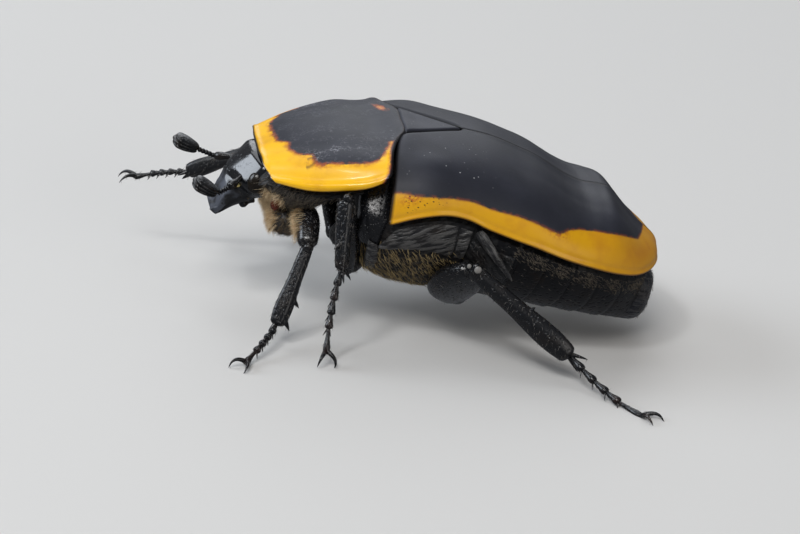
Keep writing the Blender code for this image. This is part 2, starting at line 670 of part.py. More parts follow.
def flatten_foot(piece):
    """Cuts off what reaches under the floor, which leaves small flats for the foot to rest on."""
    level = Vector((-math.sin(PITCH), 0, math.cos(PITCH)))
    shape = bmesh.new()
    shape.from_mesh(piece.data)
    everything = shape.verts[:] + shape.edges[:] + shape.faces[:]
    cut = bmesh.ops.bisect_plane(shape, geom=everything, dist=0.0005, plane_co=-level * LIFT,
                                 plane_no=level, clear_inner=True)
    rim = [item for item in cut["geom_cut"] if isinstance(item, bmesh.types.BMEdge)]
    bmesh.ops.holes_fill(shape, edges=rim)
    bmesh.ops.triangulate(shape, faces=shape.faces)
    bmesh.ops.recalc_face_normals(shape, faces=shape.faces)
    shape.to_mesh(piece.data)
    shape.free()
    return piece


def tibia_points(leg, teeth, spurs):
    """Teeth on a shin's outer edge and spurs at its end; both lists hold directions and sizes."""
    heading = (leg.ankle - leg.knee).normalized()
    points = []
    for share, reach in teeth:
        root = leg.knee.lerp(leg.ankle, share)
        points.append(spike(root, root + Vector(reach), 0.3))
    for reach in spurs:
        root = leg.ankle - heading * 0.25
        points.append(spike(root, root + heading * 0.3 + Vector(reach), 0.16))
    return points


def make_leg(leg, part_sizes, neighbours):
    """The leg's four pieces, each cut back from the one that carries it and from the trunk."""
    face = part_sizes["face"]
    coxa_parts = [limb(leg.root, leg.hip, part_sizes["coxa"], sides=10, rings=4)]
    if part_sizes is HIND_SIZES:
        coxa_parts.append(make_hind_coxa_plate())
        blade_sizes = [(0, 0.5, 0.3), (0.5, 0.3, 0.25), (1, 0.1, 0.12)]
        coxa_parts.append(limb(*COXA_BLADE, blade_sizes, face=(0, 1, 0.3), sides=6, rings=4))
    femur = limb(leg.hip, leg.knee, part_sizes["femur"], bow=leg.bow, face=face, sides=10, rings=8)
    tibia = limb(leg.knee, leg.ankle, part_sizes["tibia"], face=face, sides=8, rings=7)
    tarsus = flatten_foot(make_tarsus(leg.ankle, leg.toe, leg.swing, part_sizes["foot"]))
    clear_of(tarsus, tibia)
    fused(tibia, *tibia_points(leg, part_sizes["teeth"], part_sizes["spurs"]))
    clear_of(tibia, femur, *neighbours)
    clear_of(femur, *coxa_parts, *neighbours)
    coxa = clear_of(fused(*coxa_parts), *neighbours)
    return {"coxa": coxa, "femur": femur, "tibia": tibia, "tarsus": tarsus}


FRONT_SIZES = {
    "coxa": [(0, 0.85, 0.85), (0.6, 0.85, 0.8), (1, 0.6, 0.6)],
    "femur": [(0, 0.5, 0.45), (0.45, 0.72, 0.55), (1, 0.5, 0.42)],
    "tibia": [(0, 0.36, 0.3), (0.4, 0.45, 0.33), (0.9, 0.53, 0.33), (1, 0.4, 0.3)],
    "teeth": [(0.62, (0.75, 0.0, -0.55)), (0.86, (0.7, 0.0, -0.8))],
    "spurs": [(-0.35, -0.2, -0.2)],
    "face": (0.2, 1.0, 0.0),
    "foot": 0.95,
}
MIDDLE_SIZES = {
    "coxa": [(0, 0.9, 0.9), (0.6, 0.9, 0.85), (1, 0.6, 0.6)],
    "femur": [(0, 0.5, 0.42), (0.45, 0.82, 0.5), (1, 0.46, 0.4)],
    "tibia": [(0, 0.36, 0.34), (0.5, 0.46, 0.4), (0.9, 0.52, 0.44), (1, 0.4, 0.36)],
    "teeth": [(0.6, (-0.45, -0.5, -0.35))],
    "spurs": [(0.65, 0.1, -0.35), (0.25, -0.35, -0.45)],
    "face": (0.3, 1.0, 0.0),
    "foot": 1.0,
}
HIND_SIZES = {
    "coxa": [(0, 0.6, 0.6), (1, 0.6, 0.6)],
    "femur": [(0, 0.6, 0.42), (0.4, 1.25, 0.55), (0.75, 1.0, 0.52), (1, 0.5, 0.42)],
    "tibia": [(0, 0.4, 0.36), (0.5, 0.52, 0.42), (0.92, 0.72, 0.5), (1, 0.5, 0.4)],
    "teeth": [(0.55, (0.25, -0.3, 0.75))],
    "spurs": [(0.55, 0.1, -0.75), (0.75, -0.3, 0.2)],
    "face": (0.0, 1.0, 0.45),
    "foot": 1.1,
}


def make_hind_coxa_plate():
    """The left hind coxa's broad plate, wrapped round the recess, with its pointed rear blade."""
    rows, columns = 6, 12
    along = np.linspace(0, 1, rows)[:, None]
    angle = np.radians(np.linspace(*COXA_PLATE_ARC, columns))[None, :]
    low, high = COXA_RECESS_SPAN
    x = low + COXA_RECESS_EDGE + (high - low - 2 * COXA_RECESS_EDGE) * along + np.zeros_like(angle)
    across, down = superellipse(angle, BELLY_SQUARENESS)
    wide = elytra_half_width(x) - RIM_OVERHANG
    ledge = through(ELYTRA_RIM_HEIGHT, x) - RIM_LEDGE
    outer = np.stack([x, -wide * across, ledge - (ledge - through(BELLY_HEIGHT, x)) * down], -1)
    normals = -np.abs(grid_normals(outer)) * [0, 1, 1]
    return plate_between(outer, outer - normals * COXA_PLATE_DEPTH)


def plate_between(outer, inner):
    """A closed solid between two grids of points of the same size."""
    rows, columns = outer.shape[:2]
    rings = []
    for i in range(rows):
        rings.append(np.concatenate([outer[i], inner[i][::-1]]))
    return loft(rings)


def make_legs(thorax, abdomen, prothorax, mesepimera):
    """All six legs as named pieces."""
    named = {}
    front = {"front_left": FRONT_LEFT, "front_right": FRONT_RIGHT}
    for name, leg in front.items():
        sizes = FRONT_SIZES
        if name == "front_right":
            sizes = {**FRONT_SIZES, "teeth": [(0.62, (-0.1, 0.5, -0.85)), (0.86, (-0.5, 0.4, -0.9))]}
        for part, piece in make_leg(leg, sizes, [prothorax]).items():
            named[f"{part}_{name}"] = (piece, leg)
    for name, leg, sizes, neighbours in (
            ("middle_left", MIDDLE_LEFT, MIDDLE_SIZES, [thorax, prothorax, mesepimera[0]]),
            ("hind_left", HIND_LEFT, HIND_SIZES, [thorax, abdomen])):
        for part, piece in make_leg(leg, sizes, neighbours).items():
            named[f"{part}_{name}"] = (piece, leg)
            named[f"{part}_{name.replace('left', 'right')}"] = (mirrored(piece), leg.flipped())
    return named


def stand_on_floor(stand):
    """Pitches the body, then brings the middle of its bounding box over the origin."""
    stand.rotation_euler = (0, PITCH, 0)
    stand.location = (0, 0, LIFT * MM)
    bpy.context.view_layer.update()
    corners = np.array([child.matrix_world @ vertex.co for child in stand.children
                        for vertex in child.data.vertices])
    middle = (corners.min(axis=0) + corners.max(axis=0)) / 2
    stand.location = (-middle[0], -middle[1], LIFT * MM)


def main():
    for old in list(bpy.data.objects):
        bpy.data.objects.remove(old)
    stand = bpy.data.objects.new("body_frame", None)
    bpy.context.scene.collection.objects.link(stand)

    pronotum = make_pronotum()
    elytron = make_elytron()
    thorax, abdomen, prothorax = make_thorax(), make_abdomen(), make_prothorax()
    mesepimeron = clear_of(make_mesepimeron(), thorax, pronotum, elytron)
    mesepimera = (mesepimeron, mirrored(mesepimeron))
    head = clear_of(make_head(), pronotum, prothorax)
    eye = clear_of(ellipsoid(EYE, EYE_RADII, sides=12, rings=7), head, pronotum, prothorax)
    palp = clear_of(limb(PALP_ROOT, PALP_TIP, [(0, 0.26, 0.26), (1, 0.24, 0.24)], sides=7, rings=3), head)
    stalk_left, club_left = make_antenna((-7.75, -1.55, -0.6), (-8.3, -2.35, -0.85), (-8.75, -2.5, -1.35),
                                         (-10.15, -2.7, -0.95))
    stalk_right, club_right = make_antenna((-7.75, 1.55, -0.6), (-8.45, 2.2, -0.8), (-9.3, 2.35, -0.8),
                                           (-11.05, 2.35, -0.45))
    for stalk in (stalk_left, stalk_right):
        clear_of(stalk, head)
    legs = make_legs(thorax, abdomen, prothorax, mesepimera)

    finish(head, "head", BLACK_GLOSS, HEAD_TOP, stand)
    finish(mirrored(eye), "eye_right", AMBER_EYE, (EYE.x, -EYE.y, EYE.z), stand)
    finish(eye, "eye_left", AMBER_EYE, EYE, stand)
    finish(mirrored(palp), "palp_right", BROWN_BLACK, (PALP_ROOT.x, -PALP_ROOT.y, PALP_ROOT.z), stand)
    finish(palp, "palp_left", BROWN_BLACK, PALP_ROOT, stand)
    for side, stalk, club in (("left", stalk_left, club_left), ("right", stalk_right, club_right)):
        turn = -1 if side == "left" else 1
        finish(stalk, f"antenna_{side}_stalk", BLACK_GLOSS, (-7.75, 1.55 * turn, -0.6), stand)
        finish(club, f"antenna_{side}_club", BLACK_GLOSS, (-9.0, 2.4 * turn, -1.0), stand)
    finish(pronotum, "pronotum", YELLOW, (0, 0, 0), stand)
    finish(prothorax, "prothorax", BROWN_BLACK, (0, 0, 0), stand)
    finish(make_scutellum(), "scutellum", BLACK_SATIN, (SCUTELLUM_BASE, 0, 0), stand)
    finish(mirrored(elytron), "elytron_right", YELLOW, (0, 0, 0), stand)
    finish(elytron, "elytron_left", YELLOW, (0, 0, 0), stand)
    finish(mesepimera[0], "mesepimeron_left", BLACK_GLOSS, (-1.0, -4.8, 0.5), stand)
    finish(mesepimera[1], "mesepimeron_right", BLACK_GLOSS, (-1.0, 4.8, 0.5), stand)
    finish(thorax, "thorax", BROWN_BLACK, (0, 0, 0), stand)
    finish(abdomen, "abdomen", BLACK_GLOSS, (ABDOMEN_FRONT, 0, 0), stand)
    finish(make_pygidium(), "pygidium", BLACK_GLOSS, (ABDOMEN_REAR, 0, -2.5), stand)
    for name, (piece, leg) in legs.items():
        joints = {"coxa": leg.root, "femur": leg.hip, "tibia": leg.knee, "tarsus": leg.ankle}
        finish(piece, name, BLACK_GLOSS, joints[name.split("_")[0]], stand)
    stand_on_floor(stand)


main()
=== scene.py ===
"""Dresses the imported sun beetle: shell plates, head, legs and hair in detail, and a plain studio.

All shapes are worked out in millimetres in the beetle's body frame: x runs from the head (-) to
the tail (+), y from its left (-) to its right (+), z is up. One matrix stands that frame on the floor.
"""

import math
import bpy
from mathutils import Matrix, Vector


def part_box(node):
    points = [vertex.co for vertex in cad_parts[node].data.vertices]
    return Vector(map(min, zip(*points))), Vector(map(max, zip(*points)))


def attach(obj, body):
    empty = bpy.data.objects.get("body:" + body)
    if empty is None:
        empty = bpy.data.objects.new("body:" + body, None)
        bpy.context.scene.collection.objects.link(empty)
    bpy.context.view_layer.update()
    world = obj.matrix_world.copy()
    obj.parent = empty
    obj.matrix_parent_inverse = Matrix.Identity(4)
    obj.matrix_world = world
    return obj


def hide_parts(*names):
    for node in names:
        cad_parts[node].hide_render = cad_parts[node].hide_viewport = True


bl_info = {
    "name": "Sun Beetle",
    "version": (1, 0, 0),
    "blender": (4, 5, 0),
    "location": "3D View > Sidebar > Beetle",
    "description": "Builds the detailed shell, legs and hair of a sun beetle round its packed solids",
    "category": "Add Mesh",
}

import bpy
import numpy as np
from bpy.props import FloatProperty, FloatVectorProperty, IntProperty, PointerProperty
from bpy.types import Operator, Panel, PropertyGroup
from mathutils import Matrix, Vector

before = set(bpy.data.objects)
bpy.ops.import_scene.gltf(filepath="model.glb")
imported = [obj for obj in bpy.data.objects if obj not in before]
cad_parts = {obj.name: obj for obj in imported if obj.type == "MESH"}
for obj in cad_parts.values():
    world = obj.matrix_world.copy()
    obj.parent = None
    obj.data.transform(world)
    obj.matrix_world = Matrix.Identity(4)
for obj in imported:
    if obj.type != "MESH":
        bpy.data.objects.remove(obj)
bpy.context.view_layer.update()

MM = 0.001
SHARP_ANGLE = math.radians(55)
EDGE_BULGE = 0.4
LIMB_DOME_TURNS = [0.0, 22, 40, 58, 74]
SPIKE_POINT = 0.012

# The body's named sizes, in millimetres. Many are the solids' own. The others differ a little from
# them, so that the finer pieces follow the photographed animal more closely.
PITCH = math.radians(8.0)
LIFT = 6.83
BACK_HEIGHT = [(-7.6, 0.68), (-6.8, 1.28), (-5.4, 2.27), (-3.5, 3.22), (-1.4, 3.74), (0.0, 4.2),
               (1.0, 4.25), (3.3, 4.36), (5.9, 4.28), (8.0, 4.0)]
SOLID_TIP_HEIGHT = 4.28
BACK_SQUARENESS = 2.3

ELYTRA_SQUARENESS = 2.4
ELYTRA_FRONT_EDGE = [(0.0, 0.0), (0.04, -0.2), (0.12, -0.42), (0.21, -0.52), (0.32, -0.57), (0.5, -0.56),
                     (0.78, -0.47), (1.0, -0.35)]
ELYTRA_TAIL = 15.72
ELYTRA_ROUNDING_START = 7.0
ELYTRA_PLAN_POWER = 2.2
ELYTRA_VAULT_POWER = 2.25
ELYTRA_HALF_WIDTH = [(-0.3, 6.25), (1.2, 6.35), (3.2, 6.15), (7.0, 6.45), (16.0, 6.45)]
ELYTRA_RIM_HEIGHT = [(-0.3, 0.34), (1.0, 1.06), (2.4, 1.5), (3.8, 1.5), (4.7, 1.3), (6.2, 1.1), (7.5, 0.95),
                     (9.4, 0.6), (11.0, 0.34), (12.7, 0.05), (14.2, -0.12), (15.1, -0.05), (15.72, 0.1)]
ELYTRA_VAULT_HEIGHT = [(4.0, 2.97), (6.5, 2.97), (8.1, 2.84), (8.9, 2.73), (9.7, 2.65), (10.6, 2.72),
                       (11.4, 3.04), (12.2, 3.34), (13.0, 3.04), (13.9, 2.68), (15.7, 2.56)]

SCUTELLUM_BASE = 0.15
SCUTELLUM_TIP = 3.3
SCUTELLUM_HALF_WIDTH = 1.8
SCUTELLUM_TIP_HALF_WIDTH = 0.14

PRONOTUM_SQUARENESS = 2.25
PRONOTUM_FRONT_EDGE = [(0.0, -7.13), (0.42, -7.1), (0.71, -6.99), (0.9, -6.9), (1.0, -6.75)]
PRONOTUM_REAR_EDGE = [(0.0, 0.02), (0.12, 0.05), (0.21, 0.04), (0.3, -0.12), (0.37, -0.34), (0.44, -0.52),
                      (0.62, -0.79), (0.8, -0.87), (1.0, -0.9)]
PRONOTUM_SPOT = (-0.8, 1.88)
PRONOTUM_RING = (-4.8, 3.95)
PRONOTUM_HALF_WIDTH = [(-7.6, 2.4), (-6.9, 3.15), (-5.6, 4.2), (-3.2, 5.35), (-1.5, 5.8), (-0.1, 5.8)]
PRONOTUM_RIM_HEIGHT = [(-7.6, 0.6), (-6.9, 0.36), (-6.3, 0.38), (-5.6, 0.5), (-4.4, 0.78),
                       (-3.2, 1.26), (-1.8, 1.94), (-0.9, 2.6), (-0.1, 3.0)]

BELLY_SQUARENESS = 1.8
BELLY_HEIGHT = [(-1.7, -0.5), (-1.35, -1.9), (-0.9, -3.2), (-0.2, -4.0), (0.9, -4.35), (2.7, -4.5),
                (4.3, -4.4), (6.2, -4.25), (9.4, -4.1), (11.7, -4.05), (14.0, -4.1), (15.6, -4.15)]
BACK_POINTS = 24
BELLY_POINTS = 60
BELLY_HALF_WIDTH = 5.5
BELLY_DEPTH = 4.5
RIM_LEDGE = 0.42
RIM_OVERHANG = 0.35
CORE_INSET = 0.98
NECK_HALF_WIDTH = 4.3
NECK_RIM = 0.9
FIRST_RING = 6.9
ABDOMEN_REAR = 14.9
ABDOMEN_RINGS = 5
PYGIDIUM_TIP = 16.0
PYGIDIUM_HALF_WIDTH = 2.78
PYGIDIUM_LEDGE = -0.5
PYGIDIUM_FLOOR = -4.12
PYGIDIUM_MIDDLE = -2.5
PYGIDIUM_LEAN = 0.12
COXA_BLADE = ((4.45, -6.0, 0.95), (7.0, -5.85, -1.35))
HIND_COXA_FRONT = 4.3
HIND_COXA_REAR = 6.75
PROTHORAX_FRONT = -6.85
PROTHORAX_REAR = -1.9
THORAX_FRONT = -1.7
THORAX_REAR = 5.6
THORAX_TOP = 4.1
ABDOMEN_FRONT = 5.3
PYGIDIUM_OVERLAP = 0.3
PLATE_THICKNESS = 0.5
FLOOR_PRESS = 0.1

# The mesepimeron's section at each height: (height, middle, half-width)
MESEPIMERON_WEDGE = [(-1.35, -0.85, 0.5), (-1.2, -0.85, 0.6), (-0.6, -0.95, 0.7), (0.1, -0.95, 0.78),
                     (0.7, -1.0, 0.84), (1.2, -1.02, 0.8), (1.8, -0.9, 0.52), (2.35, -0.75, 0.14)]
MESEPIMERON_SQUARENESS = 3.4
MESEPIMERON_ROOT = 4.25
MESEPIMERON_REACH = 5.62
MESEPIMERON_FALL = 0.68
MESEPIMERON_FOOT = (-0.8, -4.3, -1.5)
MESEPIMERON_HEAD = (-0.9, -4.2, 2.45)

# Raised plates of the thorax's left side: four (x, turn in degrees) corners, then lift and rows
SIDE_PLATES = [
    ([(0.15, 3), (3.35, 3), (3.62, 26), (-0.35, 21)], 0.1, 40),
    ([(3.5, 3), (4.15, 3), (4.2, 24), (3.72, 25)], 0.07, 16),
    ([(-0.95, 22), (-0.45, 21), (0.5, 60), (-0.2, 62)], 0.06, 16),
]

PROTHORAX_SQUARENESS = 1.5
PROTHORAX_DROP = 1.15
PROSTERNUM_HEIGHT = [(-6.75, -0.7), (-6.1, -1.3), (-5.3, -1.9), (-4.5, -2.0), (-3.8, -1.7), (-3.2, -0.8),
                     (-2.7, -0.15), (-2.0, 0.1)]

HEAD_TILT = math.radians(25.0)
HEAD_TOP = np.array((-6.86, 0.0, 1.08))
HEAD_HALF_WIDTH = [(-0.9, 1.9), (0.0, 2.15), (0.9, 2.3), (1.8, 2.1), (2.4, 1.7), (3.1, 1.45),
                   (4.1, 1.33), (4.5, 1.15)]
HEAD_BROW = [(-0.9, -1.2), (-0.4, -0.7), (0.0, -0.12), (0.4, 0.28), (0.9, 0.46), (1.8, 0.6),
             (2.6, 0.54), (3.4, 0.3), (4.1, -0.05), (4.5, -0.1)]
HEAD_DEPTH = [(-0.9, 1.9), (0.0, 2.3), (0.9, 2.65), (1.8, 2.5), (2.6, 2.05), (3.4, 1.25),
              (4.0, 0.6), (4.3, 0.36)]
HEAD_SQUARENESS = 2.8
HEAD_START = -0.9
HEAD_MIDDLE = 2.0
HEAD_END = 4.3

# Left balls as (centre, radii), and the joints of the palp and of both antennae
EYE = (-6.85, -1.88, -0.5), (0.52, 0.46, 0.66)
ANTENNA_SOCKET = (-7.8, -1.55, -1.0), (0.2, 0.14, 0.1)
BREAST_JOINT = (-5.62, -2.25, -1.2), (0.32, 0.3, 0.5)
# The two knee balls carry a painted glint: their pale colour stands in for the highlight on the hind knee
KNEE_BALL = (4.72, -7.06, -0.72), (0.2, 0.12, 0.2)
SMALL_KNEE_BALL = (4.24, -6.96, -0.66), (0.12, 0.1, 0.13)
PALP = (-6.55, -1.0, -1.75), (-7.3, -1.1, -2.2)
ANTENNAE = {
    "left": ((-7.75, -1.55, -0.6), (-8.3, -2.35, -0.95), (-8.85, -2.5, -1.35), (-10.35, -2.7, -0.85)),
    "right": ((-7.75, 1.55, -0.6), (-8.65, 2.2, -1.0), (-9.6, 2.35, -0.88), (-11.1, 2.35, -0.55)),
}

# Outlines of the black discs: (x, distance up from the side rim), run past the plates' own edges
ELYTRON_DISC = [(-3.0, 1.9), (-0.41, 1.74), (0.04, 1.6), (0.55, 1.32), (1.21, 1.13), (1.9, 1.0),
                (3.0, 0.97), (4.39, 1.1), (5.29, 1.18), (6.22, 1.3), (7.21, 1.28), (8.17, 1.21),
                (8.6, 1.22), (8.85, 1.38), (9.13, 1.64), (9.8, 1.95), (10.63, 2.12), (11.71, 2.18),
                (12.91, 2.24), (13.5, 2.26), (13.75, 2.33), (13.95, 2.6), (14.2, 3.0), (14.47, 3.5),
                (14.7, 4.4), (14.8, 6.0), (14.8, 30.0), (-3.0, 30.0)]
PRONOTUM_DISC = [(-6.34, 30.0), (-6.34, 5.0), (-6.3, 4.3), (-6.22, 3.75), (-5.96, 3.58), (-5.74, 3.42),
                 (-5.82, 3.0), (-5.76, 2.66), (-5.46, 2.24), (-5.1, 2.1), (-4.7, 2.1), (-4.62, 1.85),
                 (-4.5, 1.56), (-4.2, 1.4), (-3.8, 1.5), (-2.86, 1.47), (-1.9, 1.46), (-1.44, 1.68),
                 (-1.18, 2.2), (-0.98, 2.9), (-0.9, 3.4), (3.0, 3.4), (3.0, 30.0)]


def through(stations, x):
    """The value at x of the smooth curve through (x, value) stations, level beyond its ends."""
    places, values = (np.array(column, float) for column in zip(*stations))
    slopes = np.gradient(values, places)
    x = np.clip(np.asarray(x, float), places[0], places[-1])
    i = np.clip(np.searchsorted(places, x) - 1, 0, len(places) - 2)
    step = places[i + 1] - places[i]
    t = (x - places[i]) / step
    rise = values[i] * (1 + 2 * t) * (1 - t) ** 2 + values[i + 1] * t * t * (3 - 2 * t)
    lean = slopes[i] * t * (1 - t) ** 2 - slopes[i + 1] * t * t * (1 - t)
    return rise + lean * step


def superellipse(angle, squareness):
    cosine, sine = np.cos(angle), np.sin(angle)
    power = 2.0 / squareness
    return np.sign(cosine) * np.abs(cosine) ** power, np.sign(sine) * np.abs(sine) ** power


def unit(vectors):
    """The vectors at length 1."""
    return vectors / np.maximum(np.linalg.norm(vectors, axis=-1, keepdims=True), 1e-9)


def round_turn(sides):
    """Evenly spaced angles once round, as one row."""
    return np.linspace(0, 2 * math.pi, sides, endpoint=False)[None, :]


def smooth_step(low, high, x):
    t = np.clip((np.asarray(x, float) - low) / (high - low), 0.0, 1.0)
    return t * t * (3.0 - 2.0 * t)


def between(rise, fall, x):
    """1 between the two steps and 0 outside them."""
    return smooth_step(*rise, x) * (1 - smooth_step(*fall, x))


def bell(x, middle, width):
    return np.exp(-(((x - middle) / width) ** 2))


def depth_inside(outline, x, y):
    """How far points lie inside a closed outline, less than 0 outside it."""
    corners = np.array(outline, float)
    nearest, inside = np.full(x.shape, 99.0), np.zeros(x.shape, bool)
    for (ax, ay), (bx, by) in zip(corners, np.roll(corners, -1, axis=0)):
        run, rise = bx - ax, by - ay
        share = np.clip(((x - ax) * run + (y - ay) * rise) / (run ** 2 + rise ** 2), 0, 1)
        nearest = np.minimum(nearest, np.hypot(x - ax - share * run, y - ay - share * rise))
        if ay != by:
            inside ^= ((ay > y) != (by > y)) & (x < run * (y - ay) / rise + ax)
    return np.where(inside, nearest, -nearest)


def tail_rounding(x, power):
    reach = (np.asarray(x, float) - ELYTRA_ROUNDING_START) / (ELYTRA_TAIL - ELYTRA_ROUNDING_START)
    return (1.0 - np.clip(reach, 0.0, 1.0) ** power) ** (1.0 / power)


def elytra_half_width(x):
    return through(ELYTRA_HALF_WIDTH, x) * tail_rounding(x, ELYTRA_PLAN_POWER)


def elytra_rise(x):
    front = through(BACK_HEIGHT, x) - through(ELYTRA_RIM_HEIGHT, x)
    blend = smooth_step(4.0, ELYTRA_ROUNDING_START, x)
    rise = front * (1 - blend) + through(ELYTRA_VAULT_HEIGHT, x) * blend
    return rise * tail_rounding(x, ELYTRA_VAULT_POWER)


def scutellum_half_width(x):
    return np.interp(x, (SCUTELLUM_BASE, SCUTELLUM_TIP),
                     (SCUTELLUM_HALF_WIDTH, SCUTELLUM_TIP_HALF_WIDTH))


def floor_height(x):
    """Height of the floor in the body frame, which falls away towards the head."""
    return x * math.tan(PITCH) - LIFT / math.cos(PITCH)


def body_matrix():
    """Stands the body frame on the floor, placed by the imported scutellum's tip and sides."""
    turn = Matrix.Rotation(PITCH, 4, "Y")
    tip = turn @ Vector((SCUTELLUM_TIP, 0.0, SOLID_TIP_HEIGHT)) * MM
    low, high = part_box("scutellum")
    return Matrix.Translation((high.x - tip.x, (low.y + high.y) / 2, LIFT * MM)) @ turn


BODY = body_matrix()


# Meshes

class Part:
    """Points, faces, each point's place on the unwrapped skin, and named values for its material."""

    def __init__(self, points, faces, wrap=None, **marks):
        self.points = np.asarray(points, float).reshape(-1, 3)
        self.faces = faces
        count = len(self.points)
        self.wrap = np.zeros((count, 2)) if wrap is None else np.asarray(wrap, float).reshape(count, 2)
        self.marks = {name: np.asarray(values, float).reshape(count) for name, values in marks.items()}

    def corners(self):
        """The faces as triangles."""
        fans = [(face[0], face[k], face[k + 1]) for face in self.faces for k in range(1, len(face) - 1)]
        return np.array(fans)

    def outward(self):
        """The part with its faces turned out, for a closed part whose faces agree."""
        a, b, c = (self.points[self.corners()[:, k]] for k in range(3))
        if np.einsum("ij,ij->i", a, np.cross(b, c)).sum() < 0:
            self.faces = [tuple(reversed(face)) for face in self.faces]
        return self

    def mirrored(self):
        flipped = [tuple(reversed(face)) for face in self.faces]
        return Part(self.points * [1, -1, 1], flipped, self.wrap, **self.marks)


def joined(*parts):
    points, faces, wraps, start = [], [], [], 0
    names = sorted({name for part in parts for name in part.marks})
    marks = {name: [] for name in names}
    for part in parts:
        points.append(part.points)
        wraps.append(part.wrap)
        faces.extend(tuple(i + start for i in face) for face in part.faces)
        start += len(part.points)
        for name in names:
            marks[name].append(part.marks.get(name, np.zeros(len(part.points))))
    return Part(np.concatenate(points), faces, np.concatenate(wraps),
                **{name: np.concatenate(values) for name, values in marks.items()})


def grid_normals(grid):
    along, across = np.gradient(grid, axis=0), np.gradient(grid, axis=1)
    normals = unit(np.cross(along, across))
    return normals if normals[..., 2].mean() > 0 else -normals


def grid_quads(rows, columns, closed=False):
    i, j = np.meshgrid(np.arange(rows - 1), np.arange(columns if closed else columns - 1), indexing="ij")
    k = (j + 1) % columns
    quads = np.stack([i * columns + j, i * columns + k, (i + 1) * columns + k, (i + 1) * columns + j], -1)
    return [tuple(quad) for quad in quads.reshape(-1, 4).tolist()]


def arc_from_start(grid):
    """Distance along each row of a grid from its first point."""
    step = np.linalg.norm(np.diff(grid, axis=1), axis=-1)
    return np.concatenate([np.zeros((grid.shape[0], 1)), np.cumsum(step, axis=1)], axis=1)


def sheet(outer, thickness, normals=None, **marks):
    """A closed plate under a grid of points, with a rounded edge all round."""
    rows, columns = outer.shape[:2]
    normals = grid_normals(outer) if normals is None else normals
    thickness = thickness + np.zeros((rows, columns))
    inner = outer - normals * thickness[..., None]
    edge = [(0, j) for j in range(columns)] + [(i, columns - 1) for i in range(1, rows)]
    edge += [(rows - 1, j) for j in range(columns - 2, -1, -1)] + [(i, 0) for i in range(rows - 2, 0, -1)]
    e = np.array(edge)
    inside = np.stack([np.clip(e[:, 0], 1, rows - 2), np.clip(e[:, 1], 1, columns - 2)], -1)
    out = unit(outer[e[:, 0], e[:, 1]] - outer[inside[:, 0], inside[:, 1]])
    thick = thickness[e[:, 0], e[:, 1]][:, None]
    middle = (outer[e[:, 0], e[:, 1]] + inner[e[:, 0], e[:, 1]]) / 2 + out * thick * EDGE_BULGE
    size = rows * columns
    faces = grid_quads(rows, columns)
    faces += [tuple(size + i for i in reversed(face)) for face in faces]
    flat = (e[:, 0] * columns + e[:, 1]).tolist()
    count = len(flat)
    for k in range(count):
        n = (k + 1) % count
        faces.append((flat[k], 2 * size + k, 2 * size + n, flat[n]))
        faces.append((2 * size + k, size + flat[k], size + flat[n], 2 * size + n))
    u, v = np.meshgrid(np.linspace(0, 1, rows), np.linspace(0, 1, columns), indexing="ij")
    wrap = np.stack([u, v], -1).reshape(-1, 2)
    values = {}
    for name, value in marks.items():
        value = (value + np.zeros((rows, columns))).ravel()
        values[name] = np.concatenate([value, value, value[flat]])
    points = np.concatenate([outer.reshape(-1, 3), inner.reshape(-1, 3), middle])
    return Part(points, faces, np.concatenate([wrap, wrap, wrap[flat]]), **values).outward()


def loft(rings, start=None, end=None, **marks):
    """A closed solid through rings of equally many points, each end closed at a point."""
    rings = np.asarray(rings, float)
    count, sides = rings.shape[:2]
    first = rings[0].mean(axis=0) if start is None else np.asarray(start, float)
    last = rings[-1].mean(axis=0) if end is None else np.asarray(end, float)
    faces = grid_quads(count, sides, closed=True)
    size = count * sides
    faces += [((j + 1) % sides, j, size) for j in range(sides)]
    faces += [(size - sides + j, size - sides + (j + 1) % sides, size + 1) for j in range(sides)]
    u, v = np.meshgrid(np.linspace(0.02, 0.98, count), np.arange(sides) / sides, indexing="ij")
    wrap = np.concatenate([np.stack([u, v], -1).reshape(-1, 2), [[0.0, 0.5], [1.0, 0.5]]])
    values = {}
    for name, value in marks.items():
        value = (value + np.zeros((count, sides))).ravel()
        values[name] = np.concatenate([value, [value[0], value[-1]]])
    return Part(np.concatenate([rings.reshape(-1, 3), [first, last]]), faces, wrap, **values).outward()


def rod(path, widths, depths, face=(0, 0, 1), sides=20, squareness=2.0, relief=None):
    """A closed rod along a path. Its depth lies along face, and relief(share, turn) raises its skin."""
    path, widths, depths = (np.asarray(v, float) for v in (path, widths, depths))
    heading = np.gradient(path, axis=0)
    side = unit(np.cross(heading, np.asarray(face, float)))
    thick = unit(np.cross(side, heading))
    turn = round_turn(sides)
    across, up = superellipse(turn, squareness)
    raised = 1.0
    if relief is not None:
        share = np.linspace(0, 1, len(path))[:, None]
        raised = 1.0 + relief(share, turn)
    rings = path[:, None, :] + (side[:, None, :] * (widths[:, None] * across * raised)[..., None]
                                + thick[:, None, :] * (depths[:, None] * up * raised)[..., None])
    return loft(rings, path[0], path[-1])


